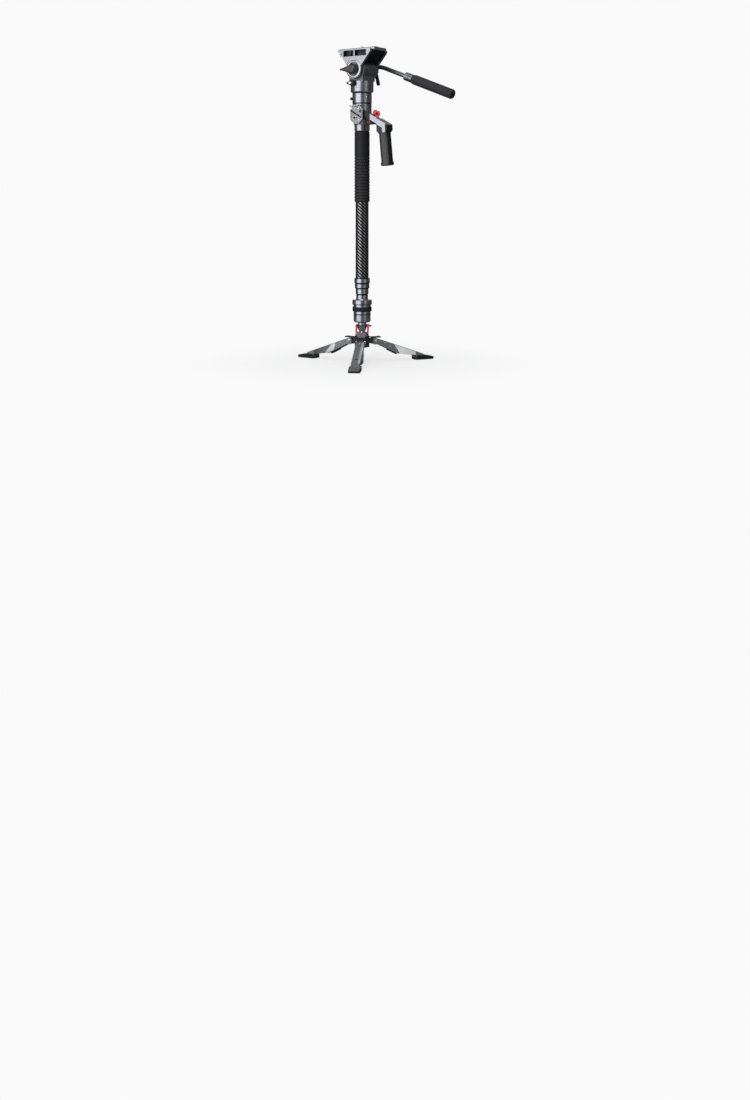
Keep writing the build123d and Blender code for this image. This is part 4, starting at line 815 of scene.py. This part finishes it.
def make_neck_shade_fins():
    """A black fin down each side of the neck's cone, inside the arms of the lock lever: painted shade
    standing in for the shaded inner faces of those arms.
    """
    cone_low = high_z("ball_clamp")
    cone_high = low_z("neck_seal")
    low = cone_low + FIN_GAP_BELOW
    high = cone_high - FIN_GAP_ABOVE

    def cone_radius(height):
        share = (height - cone_low) / (cone_high - cone_low)
        return NECK_LOW_RADIUS + (NECK_HIGH_RADIUS - NECK_LOW_RADIUS) * share

    fins = bmesh.new()
    for side in (-1, 1):
        outline = [
            (side * reach, -side * FIN_HALF_THICKNESS, height)
            for reach, height in (
                (cone_radius(low) + FIN_ROOT, low),
                (cone_radius(low) + FIN_LOW_REACH, low + FIN_LOW_SLANT),
                (cone_radius(high) + FIN_HIGH_REACH, high - FIN_TIP_HEIGHT),
                (cone_radius(high) + FIN_HIGH_REACH, high),
                (cone_radius(high) + FIN_ROOT, high),
            )
        ]
        add_plate(fins, outline, -2 * FIN_HALF_THICKNESS, bevel=0.3)
    finish_piece("neck_shade_fins", fins, "plastic", "stem", FIN_AZIMUTH)


# Column grip

STUD_ROWS = 15
STUD_ROWS_PITCH = 7.8
STUD_COLUMNS = 26
STUD_HEIGHT = 3.6
STUD_WIDTH = 2.7
STUD_RISE = 0.45
STUD_SUNK = 0.12
STUD_TOP_SHARE = 0.6
FIRST_STUD_RISE = 2.8


def make_grip_studs():
    """Rows of small pads on the lower half of the column's grip."""
    studs = bmesh.new()
    radius = reach_y("column_grip") - STUD_SUNK
    for row in range(STUD_ROWS):
        height = low_z("column_grip") + FIRST_STUD_RISE + row * STUD_ROWS_PITCH
        for column in range(STUD_COLUMNS):
            azimuth = (column + 0.5 * (row % 2)) * 360 / STUD_COLUMNS
            add_stud(studs, radius, azimuth, height)
    finish_piece("grip_studs", studs, "stud_rubber", "section_1")


def add_stud(build, radius, azimuth, low):
    """One pad with sloping sides."""
    half_angle = math.degrees(STUD_WIDTH / 2 / radius)
    half_height = STUD_HEIGHT / 2
    add_loft(build, [
        [
            on_wall(radius + rise, azimuth + side * half_angle * share, low + half_height * (1 + end * share))
            for side, end in ((-1, -1), (1, -1), (1, 1), (-1, 1))
        ]
        for rise, share in ((0, 1), (STUD_RISE, STUD_TOP_SHARE))
    ])


# Quick-release housing and its bracket. Points on the bracket are (x, height) on its front face

BOSS_HEIGHT = 625.0
WASHER_START = 24.9
WASHER_PROFILE = ((6.9, 0), (8.4, 0.2), (8.8, 0.6), (8.8, 1.8), (8.4, 2.2), (6.9, 2.3))
BOSS_COLLAR_START = 27.4
BOSS_COLLAR_PROFILE = ((6.9, 0), (7.5, 0.3), (7.6, 3.2), (7.2, 3.8), (6.9, 3.9))

BRACKET_FRONT = -36.0
MARK_PROUD = 0.1
GROOVES_WITH_WIDTHS = (
    ((-10.4, 654.2), (24.5, 634.6), 4.2),
    ((-10.4, 647.2), (-3.6, 643.2), 1.0),
    ((3.0, 665.6), (28.4, 651.3), 1.6),
    ((25.6, 648.0), (25.6, 633.0), 1.0),
)
BRACKET_SCREWS_WITH_RADII = ((15.2, 657.6, 3.0), (3.6, 657.6, 2.2), (14.2, 628.2, 2.9))
BRACKET_SCREW_RISE = 0.9
BRACKET_HOLES_WITH_RADII = ((21.4, 650.0, 3.6), (-6.4, 638.6, 1.6), (14.2, 635.2, 1.4), (-5.0, 628.4, 1.4))
HOLE_RIM = 0.25
THREAD_AT = (2.0, 634.0)
THREAD_RING_PROFILE = ((3.3, 0), (3.5, 0.5), (4.3, 0.6), (4.7, 0.3), (4.8, -0.1), (3.3, -0.1))

BAR_SUNK = 0.05
BAR_THICKNESS = 0.2


def make_boss_rings():
    """Red washer and bright collar on the boss that carries the clamp knob."""
    washer = bmesh.new()
    add_ring(washer, (WASHER_START, 0, BOSS_HEIGHT), (1, 0, 0), WASHER_PROFILE, count=48)
    finish_piece("boss_washer", washer, "red", "section_1")
    collar = bmesh.new()
    add_ring(collar, (BOSS_COLLAR_START, 0, BOSS_HEIGHT), (1, 0, 0), BOSS_COLLAR_PROFILE, count=48)
    finish_piece("boss_collar", collar, "silver", "section_1")


def make_bracket_parts():
    """Grooves, screws, guide holes and thread ring of the eight-sided bracket."""
    forward = (0, -1, 0)
    seat = BRACKET_FRONT + MARK_PROUD
    grooves = bmesh.new()
    for start, end, width in GROOVES_WITH_WIDTHS:
        add_bar(grooves, start, end, width, BRACKET_FRONT)
    finish_piece("bracket_grooves", grooves, "plastic", "section_1")
    screws = bmesh.new()
    for x, z, radius in BRACKET_SCREWS_WITH_RADII:
        add_socket_screw(screws, (x, seat, z), forward, radius, BRACKET_SCREW_RISE)
    finish_piece("bracket_screws", screws, "steel", "section_1")
    holes = bmesh.new()
    for x, z, radius in BRACKET_HOLES_WITH_RADII:
        profile = ((radius, 0), (radius, HOLE_RIM), (radius * 0.8, HOLE_RIM))
        add_turned(holes, (x, seat, z), forward, profile, count=24)
    finish_piece("bracket_holes", holes, "plastic", "section_1")
    ring = bmesh.new()
    add_ring(ring, (THREAD_AT[0], BRACKET_FRONT, THREAD_AT[1]), forward, THREAD_RING_PROFILE, count=40)
    finish_piece("bracket_thread_ring", ring, "steel", "section_1")


def add_bar(build, start, end, width, front):
    """A thin dark line on a front face, drawn from one (x, height) point to another."""
    x, z = start
    far_x, far_z = end
    length = math.hypot(far_x - x, far_z - z)
    across_x = -(far_z - z) / length * width / 2
    across_z = (far_x - x) / length * width / 2
    depth = front + BAR_SUNK
    points = [
        (x + across_x, depth, z + across_z), (x - across_x, depth, z - across_z),
        (far_x - across_x, depth, far_z - across_z), (far_x + across_x, depth, far_z + across_z),
    ]
    add_plate(build, points, BAR_THICKNESS, bevel=0.05)


# Quick-release ring

RING_RADIUS = 25.4
DOT_HEIGHT = 689.0
DOT_SUNK = 0.12
RING_DOTS = (("ring_dot", -24, 1.5, "white"), ("ring_dot_small", -4.5, 0.8, "silver"))
SAFETY_PIN_AZIMUTH = -140
SAFETY_PIN_START = on_wall(24.4, SAFETY_PIN_AZIMUTH, 664.6)
SAFETY_PIN_CLIMB = 0.32
SAFETY_PIN_PROFILE = ((1.0, 0), (1.0, 6.0), (1.5, 6.6), (1.5, 8.6), (1.1, 9.2))

BUTTON_FACE = 29.4
BUTTON_RIB_LIFTS = (-2.0, 2.0)
BUTTON_RIB_PROFILE = ((1.7, 0), (1.7, 1.2), (1.4, 1.9), (0.9, 2.1))


def make_ring_marks():
    """The index dot of the ring, the fainter one beside it, and the thin safety lever on the left."""
    for name, azimuth, radius, finish in RING_DOTS:
        dot = bmesh.new()
        profile = ((radius, 0), (radius, 0.2), (radius * 0.8, 0.32))
        place = on_wall(RING_RADIUS - DOT_SUNK, azimuth, DOT_HEIGHT)
        add_turned(dot, place, outward(azimuth), profile, count=24)
        finish_piece(name, dot, finish, "head_ring")
    lever = bmesh.new()
    heading = Vector(outward(SAFETY_PIN_AZIMUTH)) + Vector((0, 0, SAFETY_PIN_CLIMB))
    add_turned(lever, SAFETY_PIN_START, heading, SAFETY_PIN_PROFILE, count=20)
    finish_piece("ring_safety_pin", lever, "plastic", "section_1")


def make_button_ribs():
    """Two ribs on the ring's release button."""
    ribs = bmesh.new()
    low, high = corners("head_release_button")
    middle = (Vector(low) + Vector(high)) / 2
    heading = Vector((middle.x, middle.y, 0)).normalized()
    for lift in BUTTON_RIB_LIFTS:
        place = heading * BUTTON_FACE + Vector((0, 0, middle.z + lift))
        add_turned(ribs, place, heading, BUTTON_RIB_PROFILE, count=24)
    finish_piece("button_ribs", ribs, "plastic", "head_button")


# Head

TILT_AXIS = 760.0
CHEEK_OUTER = 36.7
BOSS_RING_PROFILE = (
    (17.6, 0), (17.9, 1.0), (19.5, 1.5), (21.6, 1.2), (22.9, 0.5), (23.2, -0.1), (17.6, -0.1),
)
BOSS_GROOVE_PROFILE = ((16.3, 0.25), (17.5, 0.25), (17.5, -0.1), (16.3, -0.1))
SEAMS_WITH_WIDTHS = (((-43.4, 792.6), (-34.9, 804.4), 1.5), ((-13.0, 786.5), (-22.0, 774.0), 0.5))

END_BLOCK_LENGTH = 5.0
END_BLOCK_PROUD = 0.6
END_BLOCK_SET_BACK = 0.1
END_BLOCK_WIDTH = 20.0
END_BLOCK_DROP = 7.8
END_BLOCK_RISE = 0.5

REAR_STOP_LENGTH = 11.0
REAR_STOP_OVERLAP = 0.4
REAR_STOP_HALF_WIDTH = 24.0
REAR_STOP_BOTTOM = 800.6
REAR_STOP_TOP = 806.4

RECESS_BRIDGE_LOW = (-2.4, -36.4, 793.4)
RECESS_BRIDGE_HIGH = (4.0, -28.9, 808.6)


def make_cheek_parts():
    """Bright ring and dark groove round the tilt knob, and the seams on the near cheek."""
    for name, profile, finish, slot_name in (
        ("tilt_boss_ring", BOSS_RING_PROFILE, "silver", "silver"),
        ("tilt_boss_groove", BOSS_GROOVE_PROFILE, "plastic", "black_plastic"),
    ):
        ring = bmesh.new()
        add_ring(ring, (0, -CHEEK_OUTER, TILT_AXIS), (0, -1, 0), profile, count=96)
        finish_piece(name, ring, finish, "tilt_head")
    seams = bmesh.new()
    for start, end, width in SEAMS_WITH_WIDTHS:
        add_bar(seams, start, end, width, -CHEEK_OUTER)
    finish_piece("cheek_seams", seams, "plastic", "tilt_head")


def make_small_head_parts():
    """The block at the end of the camera plate, the stop under its other end and the bridge in the recess."""
    block = bmesh.new()
    (_, near, _), (right, _, top) = corners("camera_plate")
    add_box(
        block,
        (right - END_BLOCK_LENGTH, near + END_BLOCK_SET_BACK, top - END_BLOCK_DROP),
        (right + END_BLOCK_PROUD, near + END_BLOCK_WIDTH, top + END_BLOCK_RISE),
        bevel=0.5,
    )
    finish_piece("plate_end_block", block, "silver", "plate")
    stop = bmesh.new()
    left = corners("tilt_platform")[0][0]
    add_box(
        stop,
        (left - REAR_STOP_LENGTH, -REAR_STOP_HALF_WIDTH, REAR_STOP_BOTTOM),
        (left + REAR_STOP_OVERLAP, REAR_STOP_HALF_WIDTH, REAR_STOP_TOP),
        bevel=0.8,
    )
    finish_piece("platform_rear_stop", stop, "plastic", "tilt_head")
    bridge = bmesh.new()
    add_box(bridge, RECESS_BRIDGE_LOW, RECESS_BRIDGE_HIGH, bevel=1.0)
    finish_piece("recess_bridge", bridge, "bracket", "tilt_head")


# Wing levers of the tilt and pan locks. A ring is given as its depth and how far it is set in

TILT_BASE_DEPTH = -37.5
TILT_BASE_PROFILE = ((14.2, 0), (15.0, 0.8), (15.0, 3.4), (14.0, 4.6), (12.8, 4.8), (12.6, 4.2))
TILT_HUB_RADIUS = 11.4
TILT_TIP_X = -37.2
TILT_TIP_RADIUS = 2.6
TILT_WING_RINGS = (
    (-41.0, 0.8), (-41.6, 0.0), (-43.6, 0.0), (-45.2, 1.0), (-46.8, 2.6), (-47.6, 3.8), (-47.9, 4.8),
)
WING_SMALLEST_TIP = 0.4
WING_TIP_SHARE = 0.45
WING_PULL_SHARE = 1.1
WING_NECK_POWER = 1.5
WING_NECK_FULLNESS_SHARE = 0.9

PAN_HUB_RADIUS = 7.8
PAN_HUB_FROM_RIGHT = 8.0
PAN_TIP_FROM_LEFT = 2.0
PAN_TIP_RADIUS = 1.9
PAN_WING_RINGS = ((9.0, 1.0), (8.4, 0.1), (7.6, 0.0), (2.4, 0.0), (1.2, 0.6), (0.3, 1.8), (0.0, 3.0))
DROP_SMALLEST_TIP = 0.3
DROP_TIP_SHARE = 0.4
DROP_PULL_SHARE = 1.2
PAN_STEM_DEPTH = 19.0
PAN_STEM_RADIUS = 2.9
PAN_STEM_LENGTH = 10.5
# Place and outline of the painted highlight on the wing's front
PAN_HIGHLIGHT_FROM_HUB = 4.6
PAN_HIGHLIGHT_OUTLINE = ((-6.4, 0.0), (-1.0, -2.9), (4.4, -1.6), (4.4, 1.6), (-1.0, 2.9))
PAN_HIGHLIGHT_SUNK = 0.05
PAN_HIGHLIGHT_THICKNESS = 0.5


def teardrop(hub_x, tip_x, height, depth, inset, count=28):
    """A ring at one depth: an arc round the hub, straight flanks, and a small arc at the tip to the left."""
    hub_radius = PAN_HUB_RADIUS - inset
    tip_radius = max(DROP_SMALLEST_TIP, PAN_TIP_RADIUS - inset * DROP_TIP_SHARE)
    tip_x += inset * DROP_PULL_SHARE
    lean = math.asin((hub_radius - tip_radius) / (hub_x - tip_x))
    open_angle = math.pi / 2 + lean
    points = []
    for centre, radius, middle, spread, steps in (
        (hub_x, hub_radius, 0.0, open_angle, count),
        (tip_x, tip_radius, math.pi, math.pi - open_angle, count // 2),
    ):
        for step in range(steps):
            angle = middle - spread + 2 * spread * step / (steps - 1)
            points.append((centre + radius * math.cos(angle), depth, height + radius * math.sin(angle)))
    return points


def wing(depth, inset, count=30):
    """A ring at one depth: an arc round the hub, flanks drawn in to a narrow neck, and a small round tip."""
    radius = TILT_HUB_RADIUS - inset
    tip = max(WING_SMALLEST_TIP, TILT_TIP_RADIUS - inset * WING_TIP_SHARE)
    end_x = TILT_TIP_X + inset * WING_PULL_SHARE
    upper = []
    for step in range(count):
        angle = math.pi / 2 * step / (count - 1)
        upper.append((radius * math.cos(angle), radius * math.sin(angle)))
    for step in range(1, count):
        share = step / (count - 1)
        fullness = (1 - share) ** WING_NECK_POWER * (1 + WING_NECK_FULLNESS_SHARE * share)
        upper.append((end_x * share, tip + (radius - tip) * fullness))
    for step in range(1, count // 2):
        angle = math.pi / 2 * (1 + step / (count // 2 - 1))
        upper.append((end_x + tip * math.cos(angle), tip * math.sin(angle)))
    lower = [(x, -z) for x, z in reversed(upper[1:-1])]
    return [(x, depth, TILT_AXIS + z) for x, z in upper + lower]


def make_tilt_lever():
    """The tilt lock's wing lever on its round base."""
    lever = bmesh.new()
    add_turned(lever, (0, TILT_BASE_DEPTH, TILT_AXIS), (0, -1, 0), TILT_BASE_PROFILE, count=64)
    add_loft(lever, [wing(depth, inset) for depth, inset in TILT_WING_RINGS])
    piece = finish_piece("tilt_lever_wing", lever, "knob_plastic", "tilt_lock")
    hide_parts("tilt_lock_lever")


def make_pan_knob():
    """The pan lock's wing knob on its stem, with a thin polished plate on its front as a painted highlight.
    """
    (left, front, low), (right, _, high) = corners("pan_lock_knob")
    height = (low + high) / 2
    hub_x = right - PAN_HUB_FROM_RIGHT
    tip_x = left + PAN_TIP_FROM_LEFT
    knob = bmesh.new()
    add_loft(knob, [teardrop(hub_x, tip_x, height, front + depth, inset) for depth, inset in PAN_WING_RINGS])
    stem = ((PAN_STEM_RADIUS, 0), (PAN_STEM_RADIUS, PAN_STEM_LENGTH))
    add_turned(knob, (hub_x, front + PAN_STEM_DEPTH, height), (0, -1, 0), stem)
    piece = finish_piece("pan_knob_wing", knob, "plastic", "pan_lock")
    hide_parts("pan_lock_knob")
    # A thin polished plate on the wing's front: a painted highlight.
    highlight_plate = bmesh.new()
    middle = hub_x - PAN_HIGHLIGHT_FROM_HUB
    outline = [(middle + x, front - PAN_HIGHLIGHT_SUNK, height + z) for x, z in PAN_HIGHLIGHT_OUTLINE]
    add_plate(highlight_plate, outline, -PAN_HIGHLIGHT_THICKNESS, bevel=0.12)
    finish_piece("pan_wing_highlight", highlight_plate, "bright", "pan_lock")


# Side handle

COVER_HALF_DEPTH = 17.0
COVER_HALF_WIDTH = 13.6
COVER_RINGS = ((0.0, 1.2), (16.0, 1.6), (18.5, 6.6), (21.0, 7.0))
COVER_ABOVE_GRIP = 10.0
COVER_PAST_ELBOW = 0.9
COVER_OVER_ARM = 0.4

TRIGGER_NEAR = -25.4
TRIGGER_FAR = -20.6
TRIGGER_BAR_START = (54.0, 645.6)
TRIGGER_BAR_END = (60.4, 649.0)
GUARD_OUTLINE = ((51.4, 640.9), (63.6, 634.8), (63.6, 643.0), (58.0, 652.4), (53.0, 652.4), (51.4, 650.6))
GUARD_GAP = 1.2
GUARD_THICKNESS = 8.0


def cover_ring(below, corner):
    """A rectangle with cut corners across the leaning grip. The highest one follows the arm's top."""
    lean = math.radians(GRIP_LEAN_DEG)
    depth, width = COVER_HALF_DEPTH, COVER_HALF_WIDTH
    drop = below - COVER_ABOVE_GRIP
    ring = []
    for along, across in (
        (corner - depth, -width), (depth - corner, -width), (depth, corner - width), (depth, width - corner),
        (depth - corner, width), (corner - depth, width), (-depth, width - corner), (-depth, corner - width),
    ):
        x = GRIP_TOP[0] + along * math.cos(lean) + drop * math.sin(lean)
        z = GRIP_TOP[1] + along * math.sin(lean) - drop * math.cos(lean)
        if below == 0:
            x = min(x, ELBOW_X + COVER_PAST_ELBOW)
            z = ARM_TOP_AT_ELBOW + (ELBOW_X - x) * ARM_SLOPE + COVER_OVER_ARM
        ring.append((x, GRIP_MIDDLE_Y + across, z))
    return ring


def make_elbow_cover():
    """A faceted cover that leads the arm's end into the cuff of the side grip."""
    cover = bmesh.new()
    add_loft(cover, [cover_ring(below, corner) for below, corner in COVER_RINGS])
    # The cuff finish paints a highlight and shade on this cover.
    finish_piece("elbow_cover", cover, "cuff", "side_handle")


def make_trigger_parts():
    """The bar beside the trigger's loop and the black guard behind it."""
    bar = bmesh.new()
    (start_x, start_z), (end_x, end_z) = TRIGGER_BAR_START, TRIGGER_BAR_END
    add_box(bar, (start_x, TRIGGER_NEAR, start_z), (end_x, TRIGGER_FAR, end_z), bevel=0.7)
    finish_piece("trigger_bar", bar, "red", "trigger_lever")
    guard = bmesh.new()
    outline = [(x, TRIGGER_FAR + GUARD_GAP, z) for x, z in GUARD_OUTLINE]
    add_plate(guard, outline, -GUARD_THICKNESS, bevel=0.6)
    finish_piece("trigger_guard", guard, "plastic", "side_handle")


# Floor, light and background. Places here are in metres

BACKGROUND = (0.955, 0.955, 0.955)
FLOOR_RADIUS = 0.75
FLOOR_SHADE_END = 0.45
FLOOR_SHADE_SHARE = 0.3
FLOOR_SEEN = (0.86, 0.86, 0.86)
FLOOR_BOUNCE = (0.42, 0.42, 0.42)
BACKDROP_REACH_DEG = 24
BACKDROP_BLEND = 0.03
ROOM_TINT = (0.95, 0.96, 1.0)
ROOM_FADE_START = -0.3
ROOM_LOW = 0.05
ROOM_HIGH = 0.31
LIGHT_TARGET_HEIGHT = 0.40


def make_floor():
    """A pale round floor that takes the shadow of the feet and fades into the background."""
    build = bmesh.new()
    bmesh.ops.create_circle(build, cap_ends=True, segments=96, radius=FLOOR_RADIUS)
    data = bpy.data.meshes.new("floor")
    build.to_mesh(data)
    build.free()
    floor = bpy.data.objects.new("floor", data)
    floor.location = (COLUMN_X, 0, 0)
    scene.collection.objects.link(floor)
    s = Shader("floor")
    s.bsdf.inputs["Roughness"].default_value = 0.9
    seen = s.add("ShaderNodeLightPath")
    glow = s.add("ShaderNodeEmission")
    glow.inputs["Color"].default_value = (*BACKGROUND, 1)
    away = s.add("ShaderNodeVectorMath", operation="LENGTH")
    s.wire(s.place, away.inputs[0])
    share = s.ramp(away.outputs["Value"], 0.0, FLOOR_SHADE_END, 1 - FLOOR_SHADE_SHARE, 1.0)
    s.wire(s.mix(seen.outputs["Is Camera Ray"], FLOOR_BOUNCE, FLOOR_SEEN), s.bsdf.inputs["Base Color"])
    mix = s.add("ShaderNodeMixShader")
    s.wire(s.math("MULTIPLY", seen.outputs["Is Camera Ray"], share), mix.inputs[0])
    s.wire(s.bsdf.outputs[0], mix.inputs[1])
    s.wire(glow.outputs[0], mix.inputs[2])
    out = next(node for node in s.tree.nodes if node.type == "OUTPUT_MATERIAL")
    s.wire(mix.outputs[0], out.inputs["Surface"])
    data.materials.append(s.material)


def make_world():
    """White where it is seen, a pale backdrop behind the object for reflections, and a dim room around it."""
    world = bpy.data.worlds.new("studio")
    scene.world = world
    world.use_nodes = True
    world.node_tree.nodes.clear()
    w = Nodes(world.node_tree)
    seen = w.add("ShaderNodeLightPath")
    place = w.add("ShaderNodeTexCoord").outputs["Generated"]
    split = w.add("ShaderNodeSeparateXYZ")
    w.wire(place, split.inputs[0])
    room = w.add("ShaderNodeBackground")
    room.inputs["Color"].default_value = (*ROOM_TINT, 1)
    w.wire(w.ramp(split.outputs["Z"], ROOM_FADE_START, 1.0, ROOM_LOW, ROOM_HIGH), room.inputs["Strength"])

    white = w.add("ShaderNodeBackground")
    white.inputs["Color"].default_value = (*BACKGROUND, 1)
    behind = w.add("ShaderNodeVectorMath", operation="DOT_PRODUCT")
    view = math.radians(CAMERA_AZIMUTH)
    behind.inputs[1].default_value = (-math.cos(view), -math.sin(view), 0)
    w.wire(place, behind.inputs[0])
    edge = math.cos(math.radians(BACKDROP_REACH_DEG))
    backdrop = w.ramp(behind.outputs["Value"], edge, edge + BACKDROP_BLEND, 0, 1)
    reflected = w.math("MAXIMUM", seen.outputs["Is Glossy Ray"], seen.outputs["Is Transmission Ray"])
    shown = w.math("MULTIPLY", reflected, backdrop)
    either = w.math("MAXIMUM", shown, seen.outputs["Is Camera Ray"])

    mix = w.add("ShaderNodeMixShader")
    w.wire(either, mix.inputs[0])
    w.wire(room.outputs[0], mix.inputs[1])
    w.wire(white.outputs[0], mix.inputs[2])
    w.wire(mix.outputs[0], w.add("ShaderNodeOutputWorld").inputs["Surface"])


def make_softbox(name, turn, distance, height, width, tall, power, color=(1, 1, 1)):
    """An upright soft light, turned from the camera's direction by so many degrees to its right."""
    data = bpy.data.lights.new(name, "AREA")
    data.shape = "RECTANGLE"
    data.size = width
    data.size_y = tall
    data.energy = power
    data.color = color
    light = bpy.data.objects.new(name, data)
    scene.collection.objects.link(light)
    azimuth = math.radians(CAMERA_AZIMUTH + turn)
    light.location = (COLUMN_X + distance * math.cos(azimuth), distance * math.sin(azimuth), height)
    target = Vector((COLUMN_X, 0, LIGHT_TARGET_HEIGHT))
    light.rotation_euler = (target - light.location).to_track_quat("-Z", "Y").to_euler()
    light.visible_camera = False


def make_lights():
    """A large box to the left, a narrow one to the right, one overhead and a small lamp in front."""
    make_softbox(
        "left_box", turn=-47, distance=2.4, height=0.5, width=2.75, tall=3.2, power=64, color=ROOM_TINT,
    )
    make_softbox(
        "right_box", turn=40, distance=2.8, height=0.5, width=1.2, tall=2.6, power=7, color=(0.95, 0.97, 1.0),
    )
    make_softbox(
        "top_box", turn=-20, distance=0.9, height=2.6, width=1.6, tall=1.6, power=14, color=(0.96, 0.97, 1.0),
    )
    make_softbox("front_lamp", turn=-12, distance=2.2, height=2.5, width=0.5, tall=0.5, power=24)


scene.view_settings.view_transform = "Standard"
make_camera()
paint_nodes()
make_leg_parts()
make_housing_ring()
make_neck_shade_fins()
make_grip_studs()
make_boss_rings()
make_bracket_parts()
make_ring_marks()
make_cheek_parts()
make_small_head_parts()
make_tilt_lever()
make_pan_knob()
make_trigger_parts()
make_button_ribs()
make_elbow_cover()
make_floor()
make_world()
make_lights()
